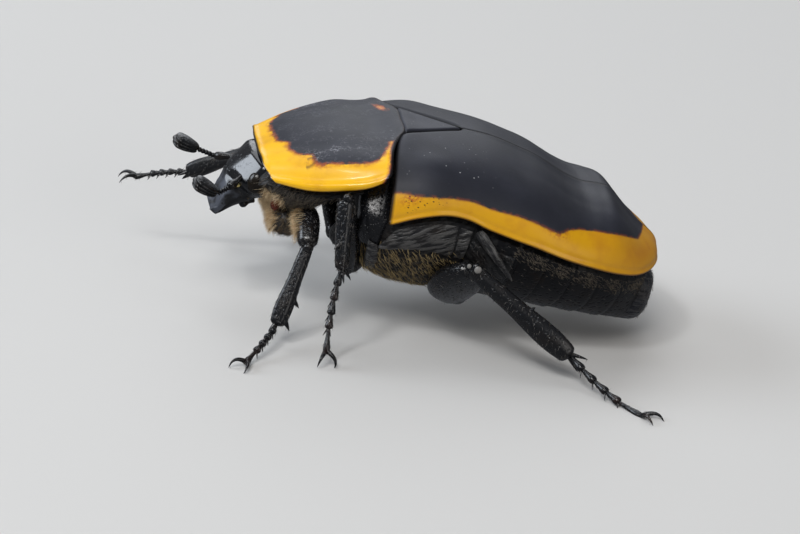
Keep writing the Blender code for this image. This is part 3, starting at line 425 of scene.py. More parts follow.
def limb(start, end, sizes, bow=(0, 0, 0), face=(0, 0, 1), sides=24, rings=26, dome=0.6, squareness=2.1,
         relief=None):
    """A rounded rod between two points. sizes holds (share of length, half-width, half-thickness)."""
    start, end, bow = (np.array(v, float) for v in (start, end, bow))
    length = np.linalg.norm(end - start)
    reach = [dome * sizes[k][1] / length for k in (0, -1)]
    dome_turn = np.radians(LIMB_DOME_TURNS)
    rise, round_up = 1 - np.cos(dome_turn), np.maximum(np.sin(dome_turn), 0.02)
    shares = np.concatenate([reach[0] * rise, np.linspace(reach[0], 1 - reach[1], rings),
                             (1 - reach[1] * rise)[::-1]])
    full = np.concatenate([round_up, np.ones(rings), round_up[::-1]])
    widths = through([(s, w) for s, w, _ in sizes], shares) * full
    depths = through([(s, d) for s, _, d in sizes], shares) * full
    s = shares[:, None]
    path = start + (end - start) * s + bow * 4 * s * (1 - s)
    return rod(path, widths, depths, face, sides, squareness, relief)


def spike(base, tip, radius, curve=(0, 0, 0), sides=10, rings=7):
    """A pointed thorn that may curve aside in its middle."""
    base, tip, curve = (np.array(v, float) for v in (base, tip, curve))
    s = np.linspace(0, 1, rings)[:, None]
    path = base + (tip - base) * s + curve * 4 * s * (1 - s)
    sizes = radius * (1 - s[:, 0]) ** 0.8 + SPIKE_POINT
    off = (0.3, 0.2, 1.0) if abs((tip - base)[2]) < 0.8 * np.linalg.norm(tip - base) else (1.0, 0.3, 0.1)
    return rod(path, sizes, sizes, off, sides)


def ellipsoid(centre, radii, sides=32, rings=24):
    level = np.linspace(-math.pi / 2, math.pi / 2, rings + 2)[1:-1][:, None]
    turn, ring = round_turn(sides), np.cos(level)
    unit = np.stack([np.cos(turn) * ring, np.sin(turn) * ring, np.sin(level) + 0 * turn], -1)
    centre, radii = np.array(centre, float), np.array(radii, float)
    return loft(centre + radii * unit, centre - [0, 0, radii[2]], centre + [0, 0, radii[2]])


# A hair's rings of three points: (share of its length, share of its width). A last point is its tip.
HAIR_RINGS = [(-0.1, 1.0), (0.35, 0.85), (0.7, 0.5)]
HAIR_POINTS = 3 * len(HAIR_RINGS) + 1
HAIR_CURL = 0.25
HAIR_WRAP = 0.0015

# A hair's lift and length are a share of those asked for: the least share, and the range above it
HAIR_LEAST_LIFT = 0.6
HAIR_LIFT_SPREAD = 0.8
HAIR_LEAST_LENGTH = 0.65
HAIR_LENGTH_SPREAD = 0.6


def hair_faces():
    """The faces of one hair: its foot, the bands between its rings, and its point."""
    faces = [(0, 2, 1)]
    for ring in range(0, HAIR_POINTS - 4, 3):
        faces += [(ring + j, ring + (j + 1) % 3, ring + 3 + (j + 1) % 3, ring + 3 + j) for j in range(3)]
    last = HAIR_POINTS - 4
    return faces + [(last + j, last + (j + 1) % 3, last + 3) for j in range(3)]


def hairs(skin, count, seed, length, width, lie, lift=20.0, stray=0.3, where=None):
    """Thin tapered hairs rooted in a skin, which lie along a direction and stand off it by lift degrees."""
    rng = np.random.default_rng(seed)
    corners = skin.corners()
    a, b, c = (skin.points[corners[:, k]] for k in range(3))
    cross = np.cross(b - a, c - a)
    area = np.linalg.norm(cross, axis=1)
    normals = cross / np.maximum(area, 1e-12)[:, None]
    weight = area * (1.0 if where is None else np.clip(where((a + b + c) / 3, normals), 0, None))
    pick = rng.choice(len(area), size=count, p=weight / weight.sum())
    r, s = rng.random(count), rng.random(count)
    fold = r + s > 1
    r[fold], s[fold] = 1 - r[fold], 1 - s[fold]
    share = np.stack([1 - r - s, r, s], -1)[..., None]
    roots = (skin.points[corners[pick]] * share).sum(axis=1)
    wrap = (skin.wrap[corners[pick]] * share).sum(axis=1)
    up = normals[pick]
    way = np.zeros((count, 3)) + lie
    way = way + rng.normal(0, stray, (count, 3)) * np.linalg.norm(way, axis=1, keepdims=True)
    way -= up * (way * up).sum(axis=1, keepdims=True)
    way = unit(way)
    angle = np.radians(lift * (HAIR_LEAST_LIFT + HAIR_LIFT_SPREAD * rng.random(count)))[:, None]
    heading = way * np.cos(angle) + up * np.sin(angle)
    long = length * (HAIR_LEAST_LENGTH + HAIR_LENGTH_SPREAD * rng.random(count))[:, None]
    bend = -up * np.sin(angle) * HAIR_CURL * long
    side = unit(np.cross(heading, up))
    top = np.cross(side, heading)
    rings, patch = [], []
    for number, (along, thick) in enumerate(HAIR_RINGS):
        centre = roots + heading * long * along + bend * max(along, 0) ** 2
        for turn in (0.0, 2 * math.pi / 3, 4 * math.pi / 3):
            rings.append(centre + (side * math.cos(turn) + top * math.sin(turn)) * width * thick)
            patch.append(np.array((math.cos(turn), math.sin(turn))) * (1 - number / 3) * HAIR_WRAP)
    rings.append(roots + heading * long + bend)
    patch.append(np.zeros(2))
    faces = hair_faces()
    every = [tuple(i + HAIR_POINTS * n for i in face) for n in range(count) for face in faces]
    wrap = wrap[:, None, :] * 0.99 + 0.005 + np.array(patch)
    shade = np.repeat(rng.random(count), HAIR_POINTS)
    return Part(np.stack(rings, axis=1), every, wrap, shade=shade)


def show(name, part, finish, nodes=(), coat=False):
    """Puts a part into the scene as one piece that stands for the named solids.

    No point goes below the floor, so claws and spurs rest on it.
    """
    part.points[:, 2] = np.maximum(part.points[:, 2], floor_height(part.points[:, 0]))
    mesh = bpy.data.meshes.new(name)
    mesh.from_pydata((part.points * MM).tolist(), [], part.faces)
    for mark, values in part.marks.items():
        layer = mesh.attributes.new(mark, "FLOAT", "POINT")
        layer.data.foreach_set("value", values.astype(np.float32))
    if coat:
        chart = mesh.uv_layers.new(name="OFBake")
        index = np.zeros(len(mesh.loops), np.int32)
        mesh.loops.foreach_get("vertex_index", index)
        chart.data.foreach_set("uv", part.wrap[index].astype(np.float32).ravel())
    mesh.shade_smooth()
    if not coat:
        mesh.set_sharp_from_angle(angle=SHARP_ANGLE)
    mesh.materials.append(finish)
    mesh.validate()
    piece = bpy.data.objects.new(name, mesh)
    bpy.context.scene.collection.objects.link(piece)
    piece.matrix_world = BODY
    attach(piece, "root")
    if nodes:
        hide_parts(*nodes)


def show_pair(name, left, finish, node=None):
    """Shows a left part and its mirror image. {} stands for the side in the two names."""
    for side, part in (("left", left), ("right", left.mirrored())):
        show(name.format(side), part, finish, [node.format(side)] if node else ())


def show_coat(name, slot, finish, *hair, **lay):
    """Shows hairs, which the other values describe, as one piece of the coat."""
    show(name, hairs(*hair, **lay), finish, coat=True)


# Materials

class Wire:
    """A shader socket that adds, subtracts and multiplies like a number. & takes the lesser value."""

    def __init__(self, finish, socket):
        self.finish = finish
        self.socket = socket

    def sum_with(self, operation, first, second):
        return self.finish.node("ShaderNodeMath", {"operation": operation}, {0: first, 1: second})

    def __add__(self, other):
        return self.sum_with("ADD", self, other)

    def __sub__(self, other):
        return self.sum_with("SUBTRACT", self, other)

    def __rsub__(self, other):
        return self.sum_with("SUBTRACT", other, self)

    def __mul__(self, other):
        return self.sum_with("MULTIPLY", self, other)

    def __and__(self, other):
        return self.sum_with("MINIMUM", self, other)

    __radd__, __rmul__ = __add__, __mul__

    def step(self, low, high):
        """0 below low and 1 above high, or the other way round where low is the greater."""
        return self.finish.node("ShaderNodeMapRange", {"interpolation_type": "SMOOTHSTEP"},
                                {"Value": self, "From Min": low, "From Max": high})


class Finish:
    """A material and what its nodes are made with; places in it are millimetres of the body frame."""

    def __init__(self, name):
        self.material = bpy.data.materials.new(name)
        self.material.use_nodes = True
        self.tree = self.material.node_tree
        self.shader = self.tree.nodes["Principled BSDF"]
        local = self.node("ShaderNodeTexCoord", output="Object")
        self.place = self.node("ShaderNodeVectorMath", {"operation": "SCALE"}, {0: local, "Scale": 1 / MM})

    def node(self, kind, settings=None, values=None, output=0):
        made = self.tree.nodes.new(kind)
        for name, value in (settings or {}).items():
            setattr(made, name, value)
        for name, value in (values or {}).items():
            if isinstance(value, Wire):
                self.tree.links.new(value.socket, made.inputs[name])
            else:
                made.inputs[name].default_value = value
        return Wire(self, made.outputs[output])

    def mark(self, name):
        return self.node("ShaderNodeAttribute", {"attribute_name": name}, output="Fac")

    def stretched(self, scale, turn=(0, 0, 0)):
        """The place, turned and then scaled along each axis."""
        turned = self.node("ShaderNodeVectorRotate", {"rotation_type": "EULER_XYZ"},
                           {"Vector": self.place, "Rotation": turn})
        return self.node("ShaderNodeVectorMath", {"operation": "MULTIPLY"}, {0: turned, 1: scale})

    def noise(self, scale, detail=3.0, rough=0.5, at=None):
        return self.node("ShaderNodeTexNoise", values={
            "Vector": at or self.place, "Scale": scale, "Detail": detail, "Roughness": rough})

    def cells(self, scale, at=None, spread=1.0):
        return self.node("ShaderNodeTexVoronoi", {"feature": "F1"}, {
            "Vector": at or self.place, "Scale": scale, "Randomness": spread})

    def hairlines(self, turn):
        """Fine curved scratches: where a stretched noise passes through its middle value."""
        wave = self.noise(1.5, 2.0, 0.5, self.stretched((1.0, 1.9, 1.9), turn)) - 0.5
        return (wave * wave).step(0.0004, 0.0)

    def mix(self, first, second, share):
        return self.node("ShaderNodeMix", {"data_type": "RGBA"}, {
            0: share, 6: opaque(first), 7: opaque(second)}, output=2)

    def bump(self, height, strength, depth):
        return self.node("ShaderNodeBump", values={
            "Height": height, "Strength": strength, "Distance": depth * MM})

    def wear(self, **values):
        """Sets the shader's inputs, with _ for a space in their names, and gives back the material."""
        for name, value in values.items():
            socket = self.shader.inputs[name.replace("_", " ")]
            if isinstance(value, Wire):
                self.tree.links.new(value.socket, socket)
            else:
                socket.default_value = opaque(value) if socket.type == "RGBA" else value
        return self.material


def opaque(colour):
    return colour if isinstance(colour, Wire) else (*tuple(colour)[:3], 1.0)


DUST_WHITE = (0.6, 0.61, 0.63)
SCRATCH_GREY = (0.30, 0.30, 0.33)
GROOVE_GREY = (0.11, 0.108, 0.105)
# Painted shade: near-black colour laid into the seams between plates, where shade falls
PAINTED_SEAM_SHADE = (0.003, 0.003, 0.004)
# A bluish grey painted onto the clypeus as its sheen
CLYPEUS_PAINTED_SHEEN = (0.075, 0.085, 0.11)


def shell_pits(finish, scale, depth, floor=0.12, rim=0.34):
    """Round punctures as a height: 0 in a pit and 1 on the smooth shell."""
    return 1 - (1 - finish.cells(scale).step(floor, rim)) * depth


def plate_finish(name, look, yellow, scratches, ragged):
    """Satin charcoal with a glossy yellow border, whose edge is ragged and fringed with orange. Dark lines
    of painted shade follow the plates' edges and seams, and painted shade browns the wing cases towards the
    tail.
    """
    f = Finish(name)
    wander = (f.noise(2.2, 4.0, 0.6) - 0.5) * 0.3 + (f.noise(9.0, 2.0) - 0.5) * 0.14
    border = f.mark("border") + wander * ragged
    bright = border.step(-0.03, 0.1)
    fringe = border.step(-0.16, 0.0) * (1 - border.step(0.02, 0.1 + 0.24 * ragged))
    grain = f.noise(26.0, 4.0, 0.7)
    cloud = f.noise(0.55, 3.0)
    bloom = cloud.step(0.35, 0.75) * 0.5 + grain.step(0.5, 0.9) * 0.3 + f.mark("pale") * 0.6
    disc = f.mix(look.disc, look.disc_light, bloom)
    specks = (1 - f.cells(2.5).step(0.06, 0.11)) * f.mark("specks")
    disc = f.mix(disc, DUST_WHITE, specks)
    # Amber where marked: the pronotum's real orange spot, and on the wing cases a browning towards the tail
    # that is painted shade from the shell's curve
    gold = f.mix(yellow, look.amber, f.noise(0.8, 3.0).step(0.45, 0.8) * 0.5 + f.mark("tail") * 0.55)
    gold = f.mix(gold, look.rust, (f.mark("stain") * f.noise(7.0, 3.0).step(0.4, 0.62)) & 1.0)
    dots = (1 - f.cells(4.3, at=f.stretched((1, 1, 1.6))).step(0.15, 0.27)) * f.mark("dots")
    gold = f.mix(gold, look.dark_red, dots)
    colour = f.mix(disc, gold, bright)
    flame = fringe * f.noise(3.0, 2.0).step(0.3, 0.6) * (0.15 + 0.6 * ragged)
    colour = f.mix(colour, look.rust, flame)
    # Dark rim line along the plates' edges: painted shade, together with the pronotum's real dark rings
    colour = f.mix(colour, look.dark_red, f.mark("edge") * 0.85)
    # Painted shade: the seams between plates are darkened to near black
    colour = f.mix(colour, PAINTED_SEAM_SHADE, f.mark("crease") * 0.95)
    pits = shell_pits(f, 6.5, 0.6)
    scratch = f.hairlines((0.3, 0.4, 0.5)) * 0.8 + f.hairlines((0.9, 0.1, 1.4)) * 0.6
    scratch = (scratch * f.noise(1.3, 2.0).step(0.42, 0.56) * f.mark("worn")) & 1.0
    height = pits * 0.5 + grain * (0.5 - bright * 0.35) + scratch * (1 - bright) * 0.5
    colour = f.mix(colour, SCRATCH_GREY, scratch * (1 - bright) * scratches)
    polish = f.mark("polish")
    rough = 0.46 - bright * 0.1 + grain * 0.1 - scratch * 0.05 - polish * 0.16
    return f.wear(Base_Color=colour, Roughness=rough, Coat_Weight=bright * 0.06 + polish * 0.7 + 0.02,
                  Normal=f.bump(height, 0.35, 0.03), Coat_Roughness=0.1, Specular_IOR_Level=0.36)


def black_finish(name, colour, second, rough=0.2, pits=3.2, depth=0.8, grooves=0.0, turn=(0, 0, 0),
                 coat=0.3, gloss=0.4, groove_light=0.4):
    """Glossy cuticle with punctures, and fine grooves where they are asked for."""
    f = Finish(name)
    cloud = f.noise(0.9, 4.0)
    tone = f.mix(colour, second, cloud.step(0.45, 0.8) * 0.7)
    pitted = shell_pits(f, pits, depth, 0.1, 0.42)
    fine = f.noise(14.0, 3.0, 0.6)
    height = pitted + fine * 0.25
    roughness = rough + (1 - pitted) * 0.25 + fine * 0.08
    if grooves:
        lines = f.noise(1.0, 2.0, 0.6, f.stretched((1.1, 2.2, 5.5), turn)).step(0.4, 0.6)
        height = height + lines * grooves
        roughness = roughness + (1 - lines) * 0.12
        tone = f.mix(tone, GROOVE_GREY, lines * groove_light)
    return f.wear(Base_Color=tone, Roughness=roughness, Normal=f.bump(height, 0.7, 0.075),
                  Coat_Weight=coat, Coat_Roughness=0.08, Specular_IOR_Level=gloss)


def head_finish(look):
    """Glossy black, pitted where the head is marked so; the clypeus is rougher and carries a painted bluish
    sheen.
    """
    f = Finish("head_cuticle")
    pitted, dull = f.mark("pitted"), f.mark("dull")
    pits = shell_pits(f, 3.6, 0.9, 0.1, 0.32)
    fine = f.noise(12.0, 3.0, 0.6)
    height = 1 - (1 - pits) * (pitted * 0.85 + 0.12) + fine * (pitted * 0.25 + 0.04)
    tone = f.mix(look.black, look.brown, f.noise(0.8).step(0.5, 0.8) * 0.4)
    # Painted sheen: the clypeus is tinted bluish grey in patches
    tone = f.mix(tone, CLYPEUS_PAINTED_SHEEN, dull * f.noise(1.6, 3.0).step(0.35, 0.6) * pits * 0.8)
    return f.wear(Base_Color=tone, Roughness=0.16 + pitted * 0.1 + (1 - pits) * 0.2 + dull * 0.2,
                  Normal=f.bump(height, 0.5, 0.05), Coat_Weight=0.6, Coat_Roughness=0.08)


def eye_finish():
    """A dark lens with fine facets."""
    f = Finish("eye_lens")
    facets = f.cells(16.0, spread=0.2)
    return f.wear(Base_Color=f.mix((0.012, 0.008, 0.004), (0.005, 0.004, 0.003), f.noise(1.5)),
                  Roughness=0.2 + facets * 0.15, Normal=f.bump(facets, 0.3, 0.012), Coat_Weight=0.25,
                  Coat_Roughness=0.1, Specular_IOR_Level=0.35)


def socket_finish():
    """The amber skin round an antenna's root."""
    f = Finish("antenna_socket_skin")
    return f.wear(Base_Color=f.mix((0.85, 0.72, 0.32), (0.55, 0.42, 0.14), f.noise(4.0)), Roughness=0.35)


def knee_glint_finish():
    """Pale balls at a knee, whose light colour is a painted glint on the joint."""
    f = Finish("painted_knee_glint")
    return f.wear(Base_Color=f.mix((0.26, 0.25, 0.235), (0.14, 0.135, 0.13), f.noise(3.0)), Roughness=0.3,
                  Normal=f.bump(f.noise(8.0), 0.3, 0.02))


def hair_finish(name, root, tip):
    """Hair that runs from one colour to the other, each hair with its own share."""
    f = Finish(name)
    colour = f.mix(root, tip, f.mark("shade"))
    return f.wear(Base_Color=colour, Roughness=0.42, Specular_IOR_Level=0.5)


# Settings

class BeetleLook(PropertyGroup):
    """Colours of the shell and the hair."""

    disc: FloatVectorProperty(name="Disc", description="Charcoal of the back's disc", subtype="COLOR",
                              size=3, min=0, max=1, default=(0.016, 0.0175, 0.026))
    disc_light: FloatVectorProperty(name="Disc bloom", description="Paler bloom over the disc",
                                    subtype="COLOR", size=3, min=0, max=1, default=(0.032, 0.034, 0.048))
    yellow: FloatVectorProperty(name="Pronotum yellow", description="Border of the pronotum",
                                subtype="COLOR", size=3, min=0, max=1, default=(0.93, 0.50, 0.004))
    gold: FloatVectorProperty(name="Wing case yellow", description="Border of the wing cases",
                              subtype="COLOR", size=3, min=0, max=1, default=(0.74, 0.37, 0.003))
    amber: FloatVectorProperty(name="Amber", description="Duller orange towards the tail", subtype="COLOR",
                               size=3, min=0, max=1, default=(0.55, 0.22, 0.010))
    rust: FloatVectorProperty(name="Rust", description="Orange-red where yellow meets black",
                              subtype="COLOR", size=3, min=0, max=1, default=(0.42, 0.085, 0.012))
    dark_red: FloatVectorProperty(name="Dark red", description="Rim line and shoulder dots",
                                  subtype="COLOR", size=3, min=0, max=1, default=(0.035, 0.008, 0.006))
    black: FloatVectorProperty(name="Black", description="Glossy cuticle", subtype="COLOR", size=3,
                               min=0, max=1, default=(0.006, 0.0065, 0.008))
    brown: FloatVectorProperty(name="Brown black", description="Brown cast of the underside",
                               subtype="COLOR", size=3, min=0, max=1, default=(0.018, 0.012, 0.008))
    tan: FloatVectorProperty(name="Tan hair", description="Fringe of the breast", subtype="COLOR", size=3,
                             min=0, max=1, default=(0.50, 0.31, 0.14))
    golden: FloatVectorProperty(name="Golden hair", description="Hair of the thorax", subtype="COLOR",
                                size=3, min=0, max=1, default=(0.66, 0.50, 0.24))


class BeetleSizes(PropertyGroup):
    """Sizes of the shell's details and the coat."""

    seam: FloatProperty(name="Seam", description="Width of the line between neighbouring plates",
                        subtype="DISTANCE", unit="LENGTH", min=0.00001, max=0.0003, default=0.00013)
    edge: FloatProperty(name="Plate edge", description="Thickness of a plate at its rim",
                        subtype="DISTANCE", unit="LENGTH", min=0.00005, max=0.0005, default=0.00022)
    bead: FloatProperty(name="Bead", description="Height of the pronotum's rolled rim",
                        subtype="DISTANCE", unit="LENGTH", min=0.0, max=0.0004, default=0.00019)
    thorax_hairs: IntProperty(name="Thorax hairs", description="Hairs on each side of the thorax",
                              min=10, max=9000, default=750)
    fringe_hairs: IntProperty(name="Fringe hairs", description="Hairs of the breast's fringe",
                              min=10, max=9000, default=1500)
    patch_hairs: IntProperty(name="Belly hairs", description="Hairs in the belly's pale patches",
                             min=10, max=12000, default=2600)


class BeetleStudio(PropertyGroup):
    """The camera and the lights."""

    azimuth: FloatProperty(name="Azimuth", description="Direction of the camera round the beetle",
                           subtype="ANGLE", unit="ROTATION", default=math.radians(-10.976))
    elevation: FloatProperty(name="Elevation", description="Angle of the camera above the floor",
                             subtype="ANGLE", unit="ROTATION", default=math.radians(21.589))
    roll: FloatProperty(name="Roll", description="Turn of the camera about its own line of sight",
                        subtype="ANGLE", unit="ROTATION", default=math.radians(8.885))
    distance: FloatProperty(name="Distance", description="From the camera to the point it looks at",
                            subtype="DISTANCE", unit="LENGTH", default=0.21625)
    focal_length: FloatProperty(name="Focal length", description="In millimetres, for a 36 mm sensor",
                                default=179.955)
    key_power: FloatProperty(name="Light", description="Power that each soft light takes a share of",
                             subtype="POWER", unit="POWER", default=1.2)


AIM = (1.816, 0.0, -4.419)      # what the camera looks at, from the body frame's origin, in floor axes


# Pieces

def plate_thickness(sizes, share):
    """Thickness of a plate, from its rim's at 0 to its full one at 1."""
    edge = sizes.edge / MM
    return edge + (PLATE_THICKNESS - edge) * share


def elytron_part(sizes):
    """The left wing case, with its shoulder and tail swellings, its rim and its suture's ridge."""
    rows, columns = 170, 90
    share = np.linspace(0, 1, rows)[:, None]
    column = np.linspace(0, 1, columns)[None, :]
    front = through(ELYTRA_FRONT_EDGE, 1 - column)
    x = front + (ELYTRA_TAIL - 0.01 - front) * (1 - (1 - share) ** 1.7)
    half_width = elytra_half_width(x)
    seam = sizes.seam / MM
    gap = np.interp(x, (SCUTELLUM_BASE, SCUTELLUM_TIP, SCUTELLUM_TIP + 0.2),
                    (SCUTELLUM_HALF_WIDTH + seam, SCUTELLUM_TIP_HALF_WIDTH + seam, seam * 0.12))
    share_in = np.clip(gap / np.maximum(half_width, 0.4), 0, 0.97)
    angle = np.arccos(share_in ** (ELYTRA_SQUARENESS / 2)) * column ** 1.15
    across, up = superellipse(angle, ELYTRA_SQUARENESS)
    height = through(ELYTRA_RIM_HEIGHT, x) + elytra_rise(x) * up
    outer = np.stack([x, -half_width * across, height], -1)
    y = outer[..., 1]
    arc = arc_from_start(outer)
    seamward = arc[:, -1:] - arc
    ahead = x - front
    beside_scutellum = 1 - smooth_step(SCUTELLUM_TIP - 0.3, SCUTELLUM_TIP + 0.3, x)
    shoulder = 0.16 * bell(x, 1.2, 1.1) * bell(y, -4.7, 0.9)
    tail_swelling = 0.05 * bell(x, 13.0, 0.9) * bell(y, -3.3, 0.8)
    suture_ridge = 0.05 * bell(y, 0.0, 0.28) * smooth_step(3.4, 6.0, x)
    suture_furrow = 0.025 * bell(y, -1.0, 0.5) * smooth_step(6.0, 10.0, x)
    outer_furrow = 0.02 * bell(y, -2.9, 0.45) * between((5.0, 8.0), (11.0, 13.0), x)
    rolled_rim = 0.05 * bell(arc, 0.1, 0.1) - 0.03 * bell(arc, 0.32, 0.12)
    sunk_edges = 0.1 * bell(seamward, 0.0, 0.13) * beside_scutellum + 0.06 * bell(ahead, 0.0, 0.12)
    relief = (shoulder + tail_swelling + suture_ridge + rolled_rim
              - suture_furrow - outer_furrow - sunk_edges)
    outer = outer + grid_normals(outer) * relief[..., None]
    inside = np.minimum(np.minimum(arc, ahead * 1.2), seamward)
    marks = {
        "border": -depth_inside(ELYTRON_DISC, x, arc),
        # A dark line of painted shade along the rim
        "edge": 1 - smooth_step(0.03, 0.14, arc),
        "dots": between((0.0, 0.3), (1.9, 2.5), x) * smooth_step(0.35, 0.6, arc),
        "stain": np.maximum(bell(x, 0.45, 0.5) * bell(arc, 1.2, 0.3),
                            bell(x, 8.5, 0.55) * bell(arc, 1.3, 0.3)),
        # Amber towards the tail and browner near its side: painted shade from the curve of the shell
        "tail": 0.7 * smooth_step(9.5, 14.0, x) + 0.9 * bell(x, 14.1, 0.8) * bell(arc, 1.3, 0.6),
        "polish": 0.5 * bell(arc, 0.2, 0.2),
        "specks": bell(x, 2.4, 1.7) * (bell(arc, 2.5, 0.5) + 0.7 * bell(arc, 4.4, 1.0)),
        # Painted shade along the suture and the front edge, where the plates meet
        "crease": np.maximum(1 - smooth_step(0.02, 0.05 + 0.11 * beside_scutellum, seamward),
                             1 - smooth_step(0.0, 0.05, ahead)),
    }
    return sheet(outer, plate_thickness(sizes, smooth_step(0.0, 0.9, inside)), **marks)


def scutellum_part():
    """The triangle between the wing cases, let into them by a sunk edge, along which painted shade darkens
    the seam.
    """
    rows, columns = 60, 50
    share = np.linspace(0, 1, rows)[:, None]
    x = SCUTELLUM_BASE + (SCUTELLUM_TIP - SCUTELLUM_BASE) * share + np.zeros((1, columns))
    y = scutellum_half_width(x) * np.linspace(-1, 1, columns)[None, :]
    drop = 1 - (1 - np.abs(y / elytra_half_width(x)) ** ELYTRA_SQUARENESS) ** (1 / ELYTRA_SQUARENESS)
    z = through(BACK_HEIGHT, x) - elytra_rise(x) * drop
    aside = scutellum_half_width(x) - np.abs(y)
    z = z - 0.05 * bell(y, 0.0, 0.8) * bell(x, 1.0, 1.2) - 0.12 * bell(aside, 0.0, 0.12)
    # Painted shade along the scutellum's edges and tip
    crease = 1 - smooth_step(0.02, 0.17, np.minimum(aside, (SCUTELLUM_TIP - x) * 2))
    return sheet(np.stack([x, y, z], -1), 0.4, border=-3.0, specks=0.25, crease=crease, pale=1.0,
                 worn=0.1)


def pronotum_part(sizes):
    """The shield, with its rolled rim, its black disc, one orange spot and a ring near each side."""
    rows, columns = 110, 230
    angle = np.linspace(0, math.pi, columns)[None, :]
    side = np.abs(np.cos(angle))
    low = np.minimum(angle, math.pi - angle)
    front = through(PRONOTUM_FRONT_EDGE, side) + 0.5 * np.clip(1 - low / 0.5, 0, 1) ** 2
    rear = through(PRONOTUM_REAR_EDGE, side) - 0.24 * np.clip(1 - low / 0.45, 0, 1) ** 2
    x = front + (rear - front) * np.linspace(0, 1, rows)[:, None]
    across, up = superellipse(angle + np.zeros_like(x), PRONOTUM_SQUARENESS)
    rim = through(PRONOTUM_RIM_HEIGHT, x)
    height = rim + (through(BACK_HEIGHT, x) - rim) * up
    outer = np.stack([x, -through(PRONOTUM_HALF_WIDTH, x) * across, height], -1)
    arc = arc_from_start(outer)
    arc = np.minimum(arc, arc[:, -1:] - arc)
    ahead, behind = x - front, rear - x
    bead = sizes.bead / MM * bell(arc, 0.27, 0.25)
    swollen_side = 0.14 * between((0.35, 1.45), (1.7, 3.2), arc)
    front_rim = 0.04 * bell(ahead, 0.1, 0.12)
    rear_rim = 0.05 * bell(behind, 0.1, 0.1) * between((0.2, 1.0), (1.5, 3.0), arc)
    rear_dent = 0.05 * bell(behind, 0.0, 0.3) * smooth_step(3.0, 5.0, arc)
    top_dent = 0.10 * bell(x, -1.2, 1.2) * smooth_step(3.0, 6.0, arc)
    far_corner = 0.34 * smooth_step(3.4, 5.0, outer[..., 1]) * smooth_step(-3.0, -1.2, x)
    relief = bead + swollen_side + front_rim + rear_rim - rear_dent - top_dent - far_corner
    outer = outer + grid_normals(outer) * relief[..., None]
    y = outer[..., 1]
    inside = np.minimum(arc, np.minimum(behind, ahead))
    far_front = smooth_step(1.4, 2.6, arc) * (1 - smooth_step(-5.9, -5.0, x))
    far_rear = 1.8 * smooth_step(0.5, 1.2, arc) * smooth_step(-2.6, -1.6, x)
    lowered = 1.4 * smooth_step(0.0, 1.0, y) * (far_front + far_rear)
    border = np.minimum(-depth_inside(PRONOTUM_DISC, x, arc + lowered), (behind - 0.07) * 1.5)
    from_spot = y - PRONOTUM_SPOT[1]
    spot = 0.16 - np.hypot(x - PRONOTUM_SPOT[0] + from_spot * 0.38, from_spot * 0.4)
    from_ring = np.hypot(x - PRONOTUM_RING[0], np.abs(y) - PRONOTUM_RING[1])
    ring = bell(from_ring, 0.24, 0.07) * (x > PRONOTUM_RING[0] - 0.15)
    marks = {
        "border": np.maximum(border, spot),
        # A dark line of painted shade along the plate's edges, and the real dark ring near each side
        "edge": np.maximum(1 - smooth_step(0.02, 0.09, inside), ring * 0.8),
        "stain": np.maximum(bell(x, -4.3, 0.5) * bell(arc, 1.5, 0.25), spot > -0.05),
        "tail": 1.5 * (spot > -0.1),
        "polish": bell(arc, 0.3, 0.3) + 0.4 * bell(ahead, 0.1, 0.15),
        "specks": 0.2 * bell(x, -3.5, 1.6) * bell(arc, 3.4, 1.2),
        "worn": bell(x, -3.7, 1.4) * bell(arc, 2.2, 0.65) + 0.25 * bell(arc, 4.0, 1.6),
        # Painted shade along the front and rear edges, where the plates meet
        "crease": 1 - smooth_step(0.0, 0.06, np.minimum(ahead, behind)),
    }
    return sheet(outer, plate_thickness(sizes, smooth_step(0.1, 0.9, inside)), **marks)


def trunk(x, half_width, rim, top, floor, squareness, relief):
    """Cross-sections of the trunk: the back under the plates, then the belly's arc."""
    x, half_width, rim, top, floor = (
        np.asarray(row, float)[:, None] for row in (x, half_width, rim, top, floor))
    a, u = superellipse(np.linspace(0, math.pi, BACK_POINTS)[None, :], BACK_SQUARENESS)
    narrow = np.maximum(half_width - CORE_INSET, 0.3)
    back = np.stack([x + 0 * a, -narrow * a, rim + np.maximum(top - CORE_INSET - rim, 0.25) * u], -1)
    turn = np.linspace(0, math.pi, BELLY_POINTS)[None, :]
    a, d = superellipse(turn, squareness)
    wide = np.maximum(half_width - RIM_OVERHANG, 0.45)
    ledge = rim - RIM_LEDGE
    out = relief(x, turn)
    drop = (ledge - floor) * d * (1 + out / BELLY_DEPTH)
    belly = np.stack([x + 0 * a, wide * a * (1 + out / BELLY_HALF_WIDTH), ledge - drop], -1)
    return loft(np.concatenate([back, belly], axis=1))


def trunk_side(x, turn, lift):
    """A point of the thorax's left side: turn runs from 0 at its upper edge to pi/2 on the belly."""
    across, down = superellipse(turn, BELLY_SQUARENESS)
    wide = elytra_half_width(np.maximum(x, 0.0)) - RIM_OVERHANG
    ledge = through(ELYTRA_RIM_HEIGHT, x) - RIM_LEDGE
    drop = (ledge + lift - through(BELLY_HEIGHT, x)) * down
    return np.stack([x, -(wide + lift) * across, ledge - drop], -1)


def side_cover(x, turn, lift, depth):
    """A plate that follows the thorax's side at a lift above it, and reaches to a depth below it."""
    outer = trunk_side(x, turn, lift)
    normals = outer - trunk_side(x, turn, -depth)
    length = np.linalg.norm(normals, axis=-1, keepdims=True)
    return sheet(outer, length[..., 0], normals / length)


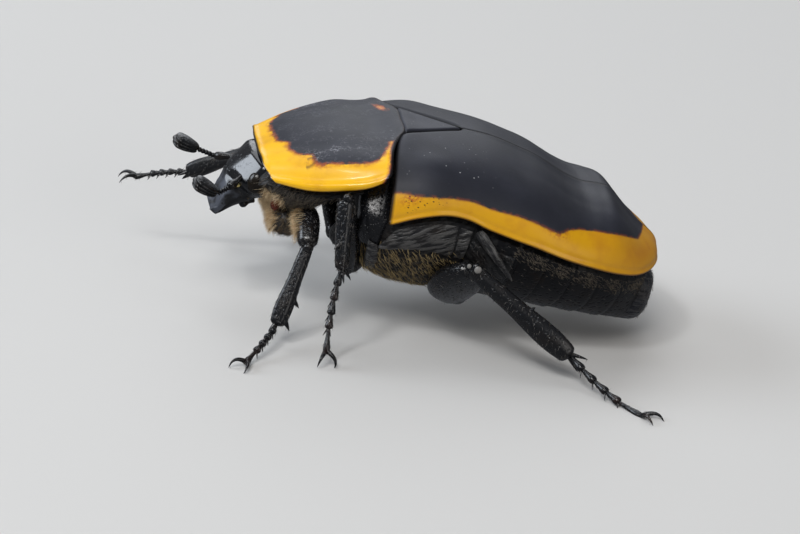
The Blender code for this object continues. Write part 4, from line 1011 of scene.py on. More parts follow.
def side_plate(corners, lift, rows):
    """A raised plate on the thorax's side between four (x, turn in degrees) corners."""
    (x0, t0), (x1, t1), (x2, t2), (x3, t3) = corners
    columns = 26
    s, t = np.meshgrid(np.linspace(0, 1, rows), np.linspace(0, 1, columns), indexing="ij")
    x = (x0 * (1 - s) + x1 * s) * (1 - t) + (x3 * (1 - s) + x2 * s) * t
    turn = np.radians((t0 * (1 - s) + t1 * s) * (1 - t) + (t3 * (1 - s) + t2 * s) * t)
    inside = np.minimum(np.minimum(s, 1 - s) * rows, np.minimum(t, 1 - t) * columns) / 6
    return side_cover(x, turn, lift * smooth_step(-0.3, 1.0, inside), 0.2)


def thorax_part():
    """The block that carries the wing cases and legs, with its swollen sides, clefts and keel."""
    x = np.concatenate([np.linspace(THORAX_FRONT, 0.0, 24), np.linspace(0.0, THORAX_REAR, 60)[1:]])
    cover = smooth_step(THORAX_FRONT, 0.2, x)
    half = NECK_HALF_WIDTH + (elytra_half_width(np.maximum(x, 0.0)) - NECK_HALF_WIDTH) * cover
    rim = NECK_RIM + (through(ELYTRA_RIM_HEIGHT, x) - NECK_RIM) * cover
    top = np.minimum(through(BACK_HEIGHT, x), THORAX_TOP)

    def relief(place, turn):
        swell = 0.16 * bell(place, 2.0, 1.8) * bell(np.sin(turn), 0.75, 0.3)
        clefts = 0.12 * bell(place, -0.55, 0.12) + 0.14 * bell(place, 4.35, 0.14)
        keel = 0.08 * bell(turn, math.pi / 2, 0.05) * smooth_step(0.0, 0.8, place)
        return swell - clefts - keel

    return trunk(x, half, rim, top, through(BELLY_HEIGHT, x), BELLY_SQUARENESS, relief)


def ring_phase(x):
    """How far along its abdominal ring a place is, from 0 to 1."""
    return (x - FIRST_RING) / ((ABDOMEN_REAR - FIRST_RING) / ABDOMEN_RINGS) % 1.0


def abdomen_part():
    """The belly's rings, each of which steps out behind the one before."""
    x = np.concatenate([np.linspace(ABDOMEN_FRONT, FIRST_RING, 12),
                        np.linspace(FIRST_RING, ABDOMEN_REAR, 110)[1:]])
    phase = np.where(x > FIRST_RING, ring_phase(x), 0.5)
    step = 0.09 * phase ** 2 - 0.1 * bell(np.minimum(phase, 1 - phase), 0.0, 0.07)

    def relief(place, turn):
        return step[:, None] * (0.4 + 0.6 * np.sin(turn)) - 0.05

    rim = through(ELYTRA_RIM_HEIGHT, x)
    return trunk(x, elytra_half_width(x), rim, rim + elytra_rise(x), through(BELLY_HEIGHT, x),
                 BELLY_SQUARENESS + 0.1, relief)


def pygidium_part():
    """The plate that closes the belly: the belly's last section, drawn in to a blunt face."""
    share = np.linspace(0, 0.985, 34)[:, None]
    bulge = (1 - share ** 3.0) ** (1 / 3.0)
    a, u = superellipse(round_turn(72), BELLY_SQUARENESS + 0.2)
    height = PYGIDIUM_LEDGE + np.where(u > 0, 0.3 * u, (PYGIDIUM_LEDGE - PYGIDIUM_FLOOR) * u)
    z = PYGIDIUM_MIDDLE + (height - PYGIDIUM_MIDDLE) * bulge
    base = ABDOMEN_REAR - PYGIDIUM_OVERLAP
    x = base + (PYGIDIUM_TIP - base) * share - PYGIDIUM_LEAN * share * (z - PYGIDIUM_MIDDLE)
    rings = np.stack([x, PYGIDIUM_HALF_WIDTH * bulge * a, z], -1)
    return loft(rings, None, (PYGIDIUM_TIP, 0, PYGIDIUM_MIDDLE))


def prothorax_part():
    """The breast under the pronotum, with faint wrinkles on its sides."""
    x = np.linspace(PROTHORAX_FRONT, PROTHORAX_REAR, 60)
    back = through(BACK_HEIGHT, x)
    rim = np.minimum(through(PRONOTUM_RIM_HEIGHT, x), back - PROTHORAX_DROP)
    floor = np.minimum(through(PROSTERNUM_HEIGHT, x), rim - 0.8)

    def relief(place, turn):
        return 0.06 * np.sin(place * 5.0) * np.sin(turn * 9.0) * bell(np.sin(turn), 0.5, 0.35)

    return trunk(x, through(PRONOTUM_HALF_WIDTH, x) - 0.15, rim, np.maximum(back - 0.05, rim + 0.5), floor,
                 PROTHORAX_SQUARENESS, relief)


def mesepimeron_part():
    """The upright wedge between the pronotum and the wing case, with a facet that leans in."""
    z = np.linspace(MESEPIMERON_WEDGE[0][0], MESEPIMERON_WEDGE[-1][0], 50)
    middle, half = (through([(row[0], row[k]) for row in MESEPIMERON_WEDGE], z)[:, None] for k in (1, 2))
    a, b = superellipse(round_turn(48), MESEPIMERON_SQUARENESS)
    fall = np.cumsum(MESEPIMERON_FALL * smooth_step(0.0, 0.7, z)) * (z[1] - z[0])
    reach = (MESEPIMERON_REACH - fall - 0.16 * (z - 0.3) ** 2 * (z < 0.3))[:, None]
    raised = np.maximum(reach + 0.3 * half * a - MESEPIMERON_ROOT, 0.12)
    out = MESEPIMERON_ROOT + raised * np.maximum(-b, 0) - 0.3 * np.maximum(b, 0)
    rings = np.stack([middle + half * a, -out, z[:, None] + 0 * a], -1)
    return loft(rings, MESEPIMERON_FOOT, MESEPIMERON_HEAD)


def head_part():
    """Brow with its smooth flanks and pitted middle, cheeks, and the clypeus with its raised rims."""
    along = np.array((-math.sin(HEAD_TILT), 0.0, -math.cos(HEAD_TILT)))
    out = np.array((-math.cos(HEAD_TILT), 0.0, math.sin(HEAD_TILT)))
    s = np.concatenate([np.linspace(HEAD_START, HEAD_MIDDLE, 60),
                        np.linspace(HEAD_MIDDLE, HEAD_END, 56)[1:]])[:, None]
    a, u = superellipse(round_turn(110), HEAD_SQUARENESS)
    half, brow, depth = (through(row, s) for row in (HEAD_HALF_WIDTH, HEAD_BROW, HEAD_DEPTH))
    side = np.abs(a)
    clypeus = smooth_step(2.2, 2.9, s)
    flank = smooth_step(0.12, 0.42, side) * smooth_step(0.15, 0.7, s) * (s < 1.3)
    smooth_flank = 0.85 * np.maximum(through(HEAD_BROW, 1.3) - brow, 0) * flank
    brow_ridge = 0.1 * bell(a, 0.0, 0.22) * (1 - clypeus) * smooth_step(0.1, 0.6, s)
    cheek_dents = 0.10 * bell(side, 0.6, 0.25) * bell(s, 2.25, 0.35)
    clypeus_hollow = 0.08 * (1 - a ** 2) * clypeus * (1 - smooth_step(3.95, 4.3, s))
    clypeus_rims = 0.10 * bell(side, 0.93, 0.08) * clypeus + 0.16 * smooth_step(3.9, 4.26, s)
    relief = smooth_flank + brow_ridge + clypeus_rims - cheek_dents - clypeus_hollow
    lift = smooth_step(0.0, 0.6, u) * relief
    past = side - 0.3
    roof = (1 - 0.48 * (past + np.sqrt(past ** 2 + 0.012))) * np.sqrt(np.maximum(1 - a ** 16, 0))
    u = np.where(u > 0, u + (roof - u) * (1 - 0.5 * clypeus) * 0.95, u)
    waist = 1 - 0.10 * bell(s, 2.35, 0.22)
    centre = HEAD_TOP + along * s[..., None] + out * (brow - depth / 2)[..., None]
    corner = 0.12 * a ** 2 * np.maximum(s - 4.0, 0)
    rings = (centre + np.array((0.0, 1.0, 0.0)) * (half * waist * a)[..., None]
             + out * (depth / 2 * u + lift)[..., None] + along * corner[..., None])
    pitted = np.clip(1 - smooth_step(0.3, 0.48, side) + clypeus + (u < 0), 0, 1)
    # The clypeus's upper face is marked as rougher and as carrying its painted sheen
    return loft(rings, pitted=pitted, dull=clypeus * (u > 0))


def antenna_parts(base, elbow, club_start, club_end):
    """A long first joint, a chain of small ones, and three leaves held together as a club."""
    base, elbow, club_start, club_end = (np.array(p, float) for p in (base, elbow, club_start, club_end))
    scape_sizes = [(0, 0.17, 0.17), (0.4, 0.14, 0.14), (0.85, 0.25, 0.24), (1, 0.2, 0.2)]
    scape = limb(base - (elbow - base) * 0.4, elbow, scape_sizes, sides=20, rings=18)
    chain = []
    for k in range(5):
        here, there = (elbow + (club_start - elbow) * (k + end) / 5 for end in (-0.15, 1.1))
        joint_sizes = [(0, 0.10, 0.10), (0.7, 0.135 + 0.012 * k, 0.135), (1, 0.11, 0.11)]
        chain.append(limb(here, there, joint_sizes, sides=16, rings=8))
    heading = unit(club_end - club_start)
    fan = unit(np.cross(heading, (0.25, 1, 0.1)))
    leaf_sizes = [(0, 0.2, 0.09), (0.3, 0.42, 0.13), (0.6, 0.52, 0.15), (0.9, 0.42, 0.13), (1, 0.3, 0.1)]
    leaves = []
    for k, short in ((-1, 0.1), (0, 0.0), (1, 0.1)):
        shift = fan * 0.2 * k
        leaves.append(limb(club_start + shift * 0.7, club_end + shift - heading * short, leaf_sizes,
                           face=fan, sides=28, rings=24, dome=0.9, squareness=2.3))
    return joined(scape, *chain), joined(*leaves)


# Legs

class Leg:
    """One leg's joints, from where its coxa sits in the trunk to its toe."""

    def __init__(self, root, hip, knee, ankle, toe, bow=(0, 0, 0), swing=(0, 0, 0)):
        self.root, self.hip, self.knee, self.ankle, self.toe = (
            np.array(p, float) for p in (root, hip, knee, ankle, toe))
        self.bow = bow
        self.swing = np.array(swing, float)


def on_floor(x, y):
    """A toe's place, pressed a little into the floor."""
    return (x, y, floor_height(x) - FLOOR_PRESS)


FRONT_LEFT = Leg((-4.9, -0.7, -1.4), (-4.05, -2.3, -1.4), (-3.9, -4.9, -2.35), (-4.65, -6.5, -6.4),
                 on_floor(-6.8, -10.2), bow=(0.0, 0.0, 0.35), swing=(0.1, -0.1, 0.1))
FRONT_RIGHT = Leg((-4.9, 0.7, -1.4), (-4.6, 1.7, -3.0), (-6.3, 4.3, -0.95), (-9.4, 4.9, -3.2),
                  (-12.8, 5.3, -4.75), bow=(0.1, 0.0, 0.35), swing=(0.0, 0.2, 0.1))
MIDDLE_LEFT = Leg((-0.5, -1.2, -3.2), (-1.0, -2.3, -4.0), (-2.8, -5.6, 1.0), (-2.3, -7.0, -2.4),
                  on_floor(-2.0, -8.9), bow=(0.1, 0.0, -0.1), swing=(-0.1, 0.2, -0.2))
HIND_LEFT = Leg((5.4, -1.6, -3.6), (5.3, -2.4, -4.2), (4.5, -6.55, -0.9), (10.65, -8.25, -3.9),
                on_floor(14.95, -12.75), bow=(-0.5, -0.1, -0.15), swing=(0.0, 0.0, -0.35))

FRONT_SIZES = {
    "coxa": [(0, 0.95, 0.9), (0.6, 0.9, 0.85), (1, 0.7, 0.65)],
    "coxa_end": (-4.65, -2.4, -2.7),
    "femur": [(0, 0.6, 0.5), (0.45, 0.66, 0.55), (1, 0.5, 0.42)],
    "tibia": [(0, 0.32, 0.3), (0.4, 0.37, 0.31), (0.9, 0.44, 0.31), (1, 0.36, 0.28)],
    "teeth": [(0.62, (0.75, 0.0, -0.55)), (0.86, (0.7, 0.0, -0.8))],
    "spurs": [(-0.35, -0.2, -0.2)],
    "knuckle": (0.0, -0.3, 0.1),
    "face": (0.2, 1.0, 0.0),
    "foot": 0.95,
}
RAISED_SIZES = {
    **FRONT_SIZES,
    "teeth": [(0.62, (-0.1, 0.5, -0.85)), (0.86, (-0.5, 0.4, -0.9))],
    "coxa_end": (-4.65, 2.4, -2.7),
    "knuckle": (0.0, 0.1, -0.1),
    "femur": [(0, 0.6, 0.5), (0.45, 0.6, 0.5), (1, 0.3, 0.3)],
}
MIDDLE_SIZES = {
    "coxa": [(0, 0.75, 0.75), (0.6, 0.72, 0.7), (1, 0.5, 0.5)],
    "femur": [(0, 0.45, 0.42), (0.45, 0.64, 0.46), (1, 0.44, 0.4)],
    "tibia": [(0, 0.46, 0.4), (0.3, 0.44, 0.38), (0.6, 0.37, 0.34), (0.9, 0.35, 0.33), (1, 0.28, 0.28)],
    "teeth": [(0.6, (-0.45, -0.5, -0.35))],
    "spurs": [(0.65, 0.1, -0.35), (0.25, -0.35, -0.45)],
    "knuckle": (0.0, -0.3, 0.15),
    "face": (0.3, 1.0, 0.0),
    "foot": 1.0,
}
HIND_SIZES = {
    "coxa": [(0, 0.6, 0.6), (1, 0.6, 0.6)],
    "femur": [(0, 0.7, 0.42), (0.4, 1.4, 0.55), (0.75, 1.15, 0.52), (1, 0.5, 0.42)],
    "tibia": [(0, 0.44, 0.38), (0.4, 0.5, 0.42), (0.9, 0.6, 0.48), (1, 0.48, 0.4)],
    "teeth": [(0.55, (0.25, -0.3, 0.75))],
    "spurs": [(0.55, 0.1, -0.75), (0.75, -0.3, 0.2)],
    "knuckle": (0.15, -0.36, 0.2),
    "face": (0.0, 1.0, 0.45),
    "foot": 1.1,
}


def ridged(count, height):
    """Lengthwise ridges for a shin, which fade out at its ends."""
    def relief(share, turn):
        fade = smooth_step(0.05, 0.2, share) * (1 - smooth_step(0.9, 1.0, share))
        return height * np.maximum(np.cos(count * turn), -0.2) * fade
    return relief


def level_side(heading):
    """The level unit vector at right angles to a heading."""
    return unit(np.cross(heading, (0, 0, 1)))


def tarsus_part(leg, size):
    """Five flared joints, each set in the one before, and two hooked claws."""
    reach = leg.toe - leg.ankle
    claw = 0.95 * size
    body = 1 - claw / np.linalg.norm(reach)

    def place(share):
        return leg.ankle + reach * share + leg.swing * 4 * share * (1 - share)

    pieces = []
    for joint in range(5):
        last = joint == 4
        here = place(joint / 5.8 * body)
        there = place(((1.0 if last else (joint + 1) / 5.8) + 0.015) * body)
        wide = 0.215 * size * (0.86 if last else 1.0)
        flare = [(0, 0.45, 0.45), (0.35, 0.6, 0.6), (0.85, 1.0, 0.9), (1, 0.85, 0.75)]
        pieces.append(limb(here, there, [(s, wide * w, wide * d) for s, w, d in flare], sides=18, rings=14,
                           dome=0.5))
        for side in (() if last else (-1, 1)):
            thorn = np.array((0, 0, -0.3)) + level_side(reach) * 0.22 * side
            root = there - (there - here) * 0.15
            pieces.append(spike(root, there + thorn * size + (there - here) * 0.12, 0.05 * size, sides=6,
                                rings=4))
    tip = place(body)
    heading = unit(tip - place(body - 0.03))
    side = level_side(heading)
    up = np.cross(side, heading)
    for spread in (-1, 1):
        end = leg.toe + side * spread * 0.5 * claw + np.array((0, 0, 0.1))
        hook = (side * spread * 0.16 + up * 0.3) * claw
        pieces.append(spike(tip - heading * 0.1, end, 0.13 * size, curve=hook, sides=12, rings=14))
    return joined(*pieces)


def hind_coxa_plate():
    """The broad plate that the hind coxa spreads over the thorax's side."""
    x, turn = np.meshgrid(np.linspace(HIND_COXA_FRONT, HIND_COXA_REAR, 40),
                          np.radians(np.linspace(10, 88, 60)), indexing="ij")
    lift = -0.02 + 0.1 * bell(turn, 0.55, 0.3) - 0.12 * bell(x, HIND_COXA_FRONT, 0.12)
    return side_cover(x, turn, lift, 0.6)


def hind_blade():
    """The narrow blade that stands out behind the hind coxa and runs to a point."""
    share = np.linspace(0, 1, 30)
    start, end = (np.array(p) for p in COXA_BLADE)
    bow = np.array((0, -0.12, 0)) * np.sin(share * math.pi)[:, None]
    path = start + (end - start) * share[:, None] + bow
    width = 0.31 * (1 - share) ** 0.6 * smooth_step(-0.2, 0.15, share) + 0.02
    return rod(path, width, width * 0.4 + 0.05, (0, 1, 0.3), sides=24, squareness=1.7)


def leg_parts(leg, sizes):
    """The leg's coxa, femur, tibia and tarsus, each set into the next as in life."""
    face = sizes["face"]
    coxa = limb(leg.root, sizes.get("coxa_end", leg.hip), sizes["coxa"], sides=28)
    outward = unit(leg.knee - leg.hip)
    trochanter = limb(leg.hip - outward * 0.2, leg.hip + outward * 0.75,
                      [(0, 0.42, 0.4), (0.6, 0.5, 0.46), (1, 0.38, 0.36)], face=face)
    femur = limb(leg.hip, leg.knee, sizes["femur"], bow=leg.bow, face=face, sides=36, rings=44,
                 squareness=2.3)
    knuckle = ellipsoid(leg.knee + np.array(sizes["knuckle"]), (0.27, 0.2, 0.27), sides=24, rings=16)
    shin = leg.ankle - leg.knee
    heading = unit(shin)
    tibia = [limb(leg.knee - shin * 0.01, leg.ankle, sizes["tibia"], face=face, sides=36, rings=40,
                  relief=ridged(5, 0.07))]
    for share, reach in sizes["teeth"]:
        root = leg.knee + shin * share
        tibia.append(spike(root, root + np.array(reach), 0.26, curve=-heading * 0.06))
    for reach in sizes["spurs"]:
        root, reach = leg.ankle - heading * 0.25, np.array(reach)
        tibia.append(spike(root, root + heading * 0.35 + reach, 0.13, curve=reach * 0.1))
    return {"coxa": coxa, "femur": joined(trochanter, femur, knuckle), "tibia": joined(*tibia),
            "tarsus": tarsus_part(leg, sizes["foot"])}


def all_legs():
    """The parts of each leg by the leg's name; the middle and hind right legs mirror the left ones."""
    legs = {"front_left": leg_parts(FRONT_LEFT, FRONT_SIZES),
            "front_right": leg_parts(FRONT_RIGHT, RAISED_SIZES)}
    middle, hind = leg_parts(MIDDLE_LEFT, MIDDLE_SIZES), leg_parts(HIND_LEFT, HIND_SIZES)
    hind["coxa"] = joined(hind["coxa"], hind_coxa_plate())
    hind["blade"] = hind_blade()
    for name, parts in (("middle", middle), ("hind", hind)):
        legs[f"{name}_left"] = parts
        legs[f"{name}_right"] = {joint: part.mirrored() for joint, part in parts.items()}
    return legs


# Where the hair grows, as weights from each face's middle and normal

def breast_front(p, n):
    low = p[:, 2] < -0.4 - 1.2 * (p[:, 0] < -6.5)
    return smooth_step(-0.2, 0.4, -n[:, 0] - np.abs(n[:, 1]) * 0.9) * (p[:, 0] < -4.2) * low


def breast_sides(p, n):
    return smooth_step(0.3, 0.7, np.abs(n[:, 1])) * (p[:, 2] < 0.6)


def thigh_front(p, n):
    return smooth_step(0.4, 0.9, -n[:, 0]) * (np.abs(p[:, 1]) < 4.4)


def hip_front(p, n):
    return smooth_step(0.4, 0.9, -n[:, 0]) * (p[:, 2] < -1.0)


def hip_sides(p, n):
    return smooth_step(0.1, 0.6, np.abs(n[:, 1])) * (p[:, 2] < -0.9)


def thorax_flanks(p, n):
    low = smooth_step(-0.6, -1.6, p[:, 2]) * (1 - 0.7 * smooth_step(-3.4, -4.3, p[:, 2]))
    return low * (p[:, 0] > -0.9) * (p[:, 0] < 4.2) * (np.abs(p[:, 1]) > 1.0)


def ring_patches(p, n):
    high = p[:, 2] - through(ELYTRA_RIM_HEIGHT, p[:, 0])
    side = smooth_step(-1.5, -0.8, high) * (n[:, 2] < 0.3)
    return side * (0.25 + bell(ring_phase(p[:, 0]), 0.6, 0.25)) * (p[:, 0] > 6.6)


def not_on_top(p, n):
    return (n[:, 2] < 0.2) * 1.0


def tail_face(p, n):
    return smooth_step(0.0, 0.5, n[:, 0])


# Operators

class BEETLE_OT_back(Operator):
    """Make the pronotum, the scutellum and the wing cases"""

    bl_idname = "beetle.back"
    bl_label = "Back plates"

    def execute(self, context):
        look, sizes = context.scene.beetle_look, context.scene.beetle_sizes
        shield = plate_finish("pronotum_shell", look, look.yellow, scratches=0.8, ragged=0.9)
        show("pronotum_plate", pronotum_part(sizes), shield, ["pronotum"])
        case = plate_finish("elytra_shell", look, look.gold, scratches=0.12, ragged=0.3)
        show_pair("elytron_{}_case", elytron_part(sizes), case, "elytron_{}")
        show("scutellum_plate", scutellum_part(), case, ["scutellum"])
        return {"FINISHED"}


class BEETLE_OT_head(Operator):
    """Make the head, the eyes, the palps and the antennae"""

    bl_idname = "beetle.head"
    bl_label = "Head"

    def execute(self, context):
        look = context.scene.beetle_look
        show("head_capsule", head_part(), head_finish(look), ["head"])
        show_pair("eye_{}_ball", ellipsoid(*EYE), eye_finish(), "eye_{}")
        gloss = black_finish("antenna_cuticle", look.black, look.brown, rough=0.14, pits=7.0, depth=0.25)
        palp = limb(*PALP, [(0, 0.2, 0.2), (0.4, 0.15, 0.15), (0.75, 0.26, 0.24), (1, 0.16, 0.16)])
        show_pair("palp_{}_joint", palp, gloss, "palp_{}")
        socket = ellipsoid(*ANTENNA_SOCKET, sides=20, rings=12)
        show_pair("antenna_{}_socket", socket, socket_finish())
        for side, points in ANTENNAE.items():
            stalk, club = antenna_parts(*points)
            show(f"antenna_{side}_chain", stalk, gloss, [f"antenna_{side}_stalk"])
            show(f"antenna_{side}_leaves", club, gloss, [f"antenna_{side}_club"])
        return {"FINISHED"}


class BEETLE_OT_trunk(Operator):
    """Make the prothorax, the thorax with its side plates, the belly and the tail plate"""

    bl_idname = "beetle.trunk"
    bl_label = "Trunk"

    def execute(self, context):
        look = context.scene.beetle_look
        breast = black_finish("breast_cuticle", look.black, look.brown, rough=0.4, pits=3.0, grooves=0.5,
                              turn=(0.0, 0.6, 0.0), coat=0.0, gloss=0.3, groove_light=0.12)
        show("prothorax_block", prothorax_part(), breast, ["prothorax"])
        rust = black_finish("joint_cuticle", (0.10, 0.016, 0.006), look.brown, pits=6.0, depth=0.3)
        show_pair("breast_joint_{}", ellipsoid(*BREAST_JOINT, sides=24, rings=16), rust)
        gloss = black_finish("mesepimeron_cuticle", look.black, (0.012, 0.013, 0.018), rough=0.13, pits=6.5,
                             depth=1.0, gloss=0.5)
        show_pair("mesepimeron_{}_plate", mesepimeron_part(), gloss, "mesepimeron_{}")
        show("thorax_block", thorax_part(), breast, ["thorax"])
        stripes = black_finish("metepisternum_cuticle", (0.012, 0.012, 0.014), look.brown, rough=0.3,
                               pits=5.0, depth=0.4, grooves=1.6, turn=(0.0, 0.52, 0.0), coat=0.1,
                               gloss=0.45, groove_light=0.7)
        for number, plate in enumerate(SIDE_PLATES):
            show_pair(f"thorax_side_plate_{number}_{{}}", side_plate(*plate), stripes)
        belly = black_finish("belly_cuticle", look.black, look.brown, rough=0.34, pits=3.5, depth=0.7,
                             coat=0.0, gloss=0.3)
        show("abdomen_rings", abdomen_part(), belly, ["abdomen"])
        tail = black_finish("tail_cuticle", (0.010, 0.012, 0.018), look.brown, rough=0.3, pits=3.0,
                            grooves=0.5, coat=0.2, groove_light=0.3)
        show("pygidium_plate", pygidium_part(), tail, ["pygidium"])
        return {"FINISHED"}


LEGS = {}
LEG_SLOTS = {"coxa": "coxae", "femur": "femora", "tibia": "tibiae", "tarsus": "tarsi", "blade": "coxae"}


class BEETLE_OT_legs(Operator):
    """Make the six legs"""

    bl_idname = "beetle.legs"
    bl_label = "Legs"

    def execute(self, context):
        look = context.scene.beetle_look
        skin = black_finish("leg_cuticle", look.black, (0.014, 0.010, 0.008), rough=0.16, pits=4.6,
                            depth=0.9, gloss=0.45)
        coxa = black_finish("coxa_cuticle", look.black, look.brown, rough=0.26, pits=4.0, grooves=0.6,
                            turn=(0.0, -0.73, 0.0), coat=0.2, gloss=0.45, groove_light=0.15)
        foot = black_finish("foot_cuticle", look.black, (0.035, 0.016, 0.010), pits=6.0, depth=0.4)
        edge = black_finish("blade_cuticle", (0.022, 0.022, 0.024), look.brown, rough=0.24, pits=5.0,
                            depth=0.7, grooves=1.0, turn=(0.0, -0.73, 0.0), gloss=0.5, groove_light=0.8)
        # The far raised leg gets a rougher copy of the leg cuticle, whose paler bluish second tone is
        # painted sheen
        raised = black_finish("raised_leg_cuticle_with_painted_sheen", look.black, (0.02, 0.022, 0.028), rough=0.34, pits=5.0,
                              depth=0.3, gloss=0.6)
        finishes = {"coxa": coxa, "femur": skin, "tibia": skin, "tarsus": foot, "blade": edge}
        LEGS.update(all_legs())
        for name, parts in LEGS.items():
            for joint, part in parts.items():
                solid = [] if joint == "blade" else [f"{joint}_{name}"]
                finish = raised if name == "front_right" and joint != "coxa" else finishes[joint]
                show(f"{joint}_{name}_shell", part, finish, solid)
        # Painted glints: pale balls on each hind knee stand in for the highlight on the joint
        knee = joined(ellipsoid(*KNEE_BALL, 24, 16), ellipsoid(*SMALL_KNEE_BALL, 20, 12))
        show_pair("hind_knee_{}_membrane", knee, knee_glint_finish())
        return {"FINISHED"}


# Bristles of a left leg's joints: their count and the way they lie
BRISTLES = {
    "femur": (300, (0.3, -1.0, 0.2)),
    "tibia": (200, (0.0, -0.3, -1.0)),
    "tarsus": (90, (0.2, -0.3, -0.5)),
    "coxa": (160, (0.6, 0.0, -1.0)),
}


class BEETLE_OT_coat(Operator):
    """Make the hair of the breast, thorax, belly and legs"""

    bl_idname = "beetle.coat"
    bl_label = "Hair"

    def execute(self, context):
        look, sizes = context.scene.beetle_look, context.scene.beetle_sizes
        tan = hair_finish("tan_hair", look.tan, (0.88, 0.72, 0.47))
        gold = hair_finish("golden_hair", (0.15, 0.105, 0.045), look.golden)
        brown = hair_finish("brown_hair", (0.04, 0.027, 0.016), (0.24, 0.165, 0.085))
        pale = hair_finish("pale_hair", (0.05, 0.04, 0.03), (0.2, 0.165, 0.12))
        bristle = hair_finish("bristle_hair", (0.02, 0.018, 0.016), (0.22, 0.2, 0.18))
        breast, belly = prothorax_part(), abdomen_part()
        show_coat("breast_fringe", "prothorax", tan, breast, sizes.fringe_hairs, 11, 0.72, 0.009,
                  (-0.5, 0.0, -1.0), lift=45, stray=0.42, where=breast_front)
        show_coat("breast_hair", "prothorax", pale, breast, 900, 17, 0.45, 0.010, (-0.35, 0.0, -1.0),
                  lift=22, where=breast_sides)
        for name in ("front_left", "front_right"):
            show_coat(f"femur_{name}_fringe", "femora", tan, LEGS[name]["femur"], 420, 12, 0.55, 0.010,
                      (-1.0, -0.3, -0.8), lift=42, where=thigh_front)
            show_coat(f"coxa_{name}_fringe", "coxae", tan, LEGS[name]["coxa"], 900, 18, 0.55, 0.010,
                      (-0.6, 0.0, -1.0), lift=40, where=hip_front)
            show_coat(f"coxa_{name}_hair", "coxae", brown, LEGS[name]["coxa"], 800, 19, 0.36, 0.009,
                      (-0.35, 0.0, -1.0), lift=16, where=hip_sides)
        show_coat("thorax_hair", "thorax", gold, thorax_part(), 2 * sizes.thorax_hairs, 13, 0.48, 0.014,
                  (0.75, 0.0, -1.0), lift=16, stray=0.22, where=thorax_flanks)
        show_coat("belly_patches", "abdomen", pale, belly, sizes.patch_hairs, 14, 0.17, 0.014,
                  (1.0, 0.0, -0.5), lift=14, where=ring_patches)
        show_coat("belly_hair", "abdomen", bristle, belly, 700, 15, 0.22, 0.010, (1.0, 0.0, -0.35),
                  lift=14, where=not_on_top)
        show_coat("pygidium_hair", "pygidium", bristle, pygidium_part(), 260, 16, 0.28, 0.010,
                  (0.3, 0.0, -1.0), lift=25, where=tail_face)
        for number, (name, parts) in enumerate(sorted(LEGS.items())):
            mirror = np.array((1, -1 if name.endswith("right") else 1, 1))
            for joint, (count, lie) in BRISTLES.items():
                show_coat(f"{joint}_{name}_bristles", LEG_SLOTS[joint], bristle, parts[joint], count,
                          20 + number, 0.24, 0.009, lie * mirror, lift=18)
        return {"FINISHED"}


# The paper's section from the floor up the backdrop, in metres: (distance back, height)
BACKDROP = [(-1.5, 0.0), (0.9, 0.0), (1.2, 0.06), (1.4, 0.25), (1.5, 0.6), (1.5, 1.6)]
BACKDROP_SIDES = (-2.0, 2.0)

# The soft lights, in metres: (name, place, size, share of the studio's light, colour)
LIGHTS = [
    ("key", (-0.16, -0.30, 0.42), 0.22, 0.9, (1.0, 0.98, 0.96)),
    ("accent", (-0.24, -0.22, 0.40), 0.055, 0.35, (0.95, 0.97, 1.0)),
    ("sky", (-0.10, 0.22, 0.46), 0.34, 0.55, (0.93, 0.96, 1.0)),
    ("front", (-0.42, 0.06, 0.20), 0.26, 1.1, (0.84, 0.91, 1.0)),
    ("back", (0.06, 0.42, 0.24), 0.28, 0.36, (0.93, 0.96, 1.0)),
    ("fill", (0.30, -0.38, 0.14), 0.30, 0.3, (1.0, 0.97, 0.94)),
]


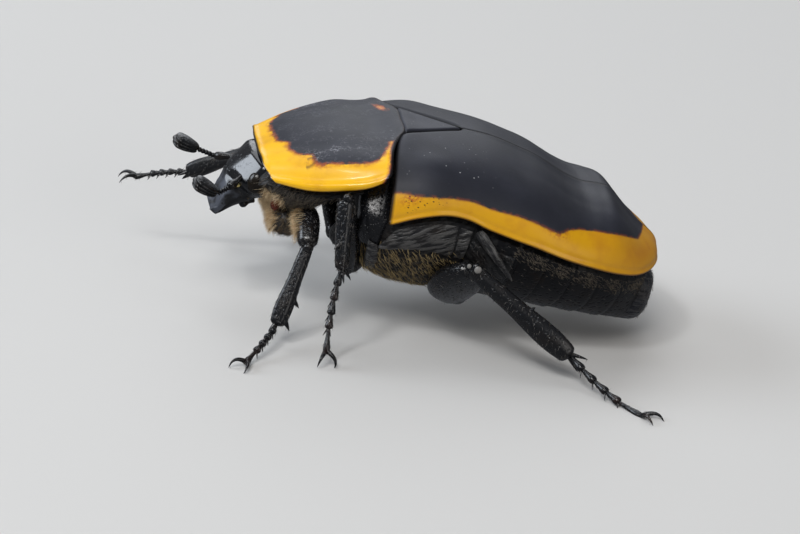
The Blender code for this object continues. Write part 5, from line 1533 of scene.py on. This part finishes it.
class BEETLE_OT_studio(Operator):
    """Set up the floor, the backdrop, the soft lights and the camera"""

    bl_idname = "beetle.studio"
    bl_label = "Studio"

    def execute(self, context):
        studio = context.scene.beetle_studio
        paper = Finish("studio_paper").wear(Base_Color=(0.66, 0.65, 0.63), Roughness=0.7,
                                            Specular_IOR_Level=0.2)
        points = [(x, y, z) for y, z in BACKDROP for x in BACKDROP_SIDES]
        strips = [(2 * k, 2 * k + 1, 2 * k + 3, 2 * k + 2) for k in range(len(BACKDROP) - 1)]
        mesh = bpy.data.meshes.new("studio_floor")
        mesh.from_pydata(points, [], strips)
        mesh.shade_smooth()
        mesh.materials.append(paper)
        floor = bpy.data.objects.new("studio_floor", mesh)
        context.scene.collection.objects.link(floor)
        floor.visible_glossy = False
        for name, place, size, share, colour in LIGHTS:
            self.light(context, name, place, size, studio.key_power * share, colour)
        world = bpy.data.worlds.new("studio_air")
        world.use_nodes = True
        air = world.node_tree.nodes["Background"]
        air.inputs["Color"].default_value = (0.9, 0.93, 1.0, 1.0)
        air.inputs["Strength"].default_value = 0.13
        context.scene.world = world
        context.scene.view_settings.view_transform = "Standard"
        self.camera(context, studio)
        return {"FINISHED"}

    def light(self, context, name, place, size, power, colour):
        """An area light that faces the beetle."""
        lamp = bpy.data.lights.new(f"studio_{name}", "AREA")
        lamp.energy = power
        lamp.size = size
        lamp.color = colour
        holder = bpy.data.objects.new(f"studio_{name}", lamp)
        context.scene.collection.objects.link(holder)
        holder.location = place
        holder.rotation_euler = (-Vector(place)).to_track_quat("-Z", "Y").to_euler()

    def camera(self, context, studio):
        lens = bpy.data.cameras.new("studio_camera")
        lens.sensor_width = 36.0
        lens.lens = studio.focal_length
        lens.clip_start = 0.01
        lens.clip_end = 20.0
        holder = bpy.data.objects.new("studio_camera", lens)
        context.scene.collection.objects.link(holder)
        turn, rise = studio.azimuth, studio.elevation
        back = Vector((math.sin(turn) * math.cos(rise), -math.cos(turn) * math.cos(rise), math.sin(rise)))
        aim = BODY.translation + Vector(AIM) * MM
        facing = (-back).to_track_quat("-Z", "Y").to_matrix().to_4x4()
        holder.matrix_world = (Matrix.Translation(aim + back * studio.distance) @ facing
                               @ Matrix.Rotation(studio.roll, 4, "Z"))
        context.scene.camera = holder


class BEETLE_PT_panel(Panel):
    """Lists the beetle's pieces"""

    bl_idname = "BEETLE_PT_panel"
    bl_label = "Sun Beetle"
    bl_space_type = "VIEW_3D"
    bl_region_type = "UI"
    bl_category = "Beetle"

    def draw(self, context):
        for maker in MAKERS:
            self.layout.operator(maker.bl_idname)
        for group in (context.scene.beetle_sizes, context.scene.beetle_look, context.scene.beetle_studio):
            box = self.layout.box()
            for name in group.__annotations__:
                box.prop(group, name)


MAKERS = (BEETLE_OT_back, BEETLE_OT_head, BEETLE_OT_trunk, BEETLE_OT_legs, BEETLE_OT_coat, BEETLE_OT_studio)
CLASSES = (BeetleLook, BeetleSizes, BeetleStudio, *MAKERS, BEETLE_PT_panel)


def register():
    for cls in CLASSES:
        bpy.utils.register_class(cls)
    bpy.types.Scene.beetle_look = PointerProperty(type=BeetleLook)
    bpy.types.Scene.beetle_sizes = PointerProperty(type=BeetleSizes)
    bpy.types.Scene.beetle_studio = PointerProperty(type=BeetleStudio)


def unregister():
    del bpy.types.Scene.beetle_look
    del bpy.types.Scene.beetle_sizes
    del bpy.types.Scene.beetle_studio
    for cls in reversed(CLASSES):
        bpy.utils.unregister_class(cls)


def main():
    register()
    bpy.ops.beetle.back()
    bpy.ops.beetle.head()
    bpy.ops.beetle.trunk()
    bpy.ops.beetle.legs()
    bpy.ops.beetle.coat()
    bpy.ops.beetle.studio()


if __name__ == "__main__":
    main()
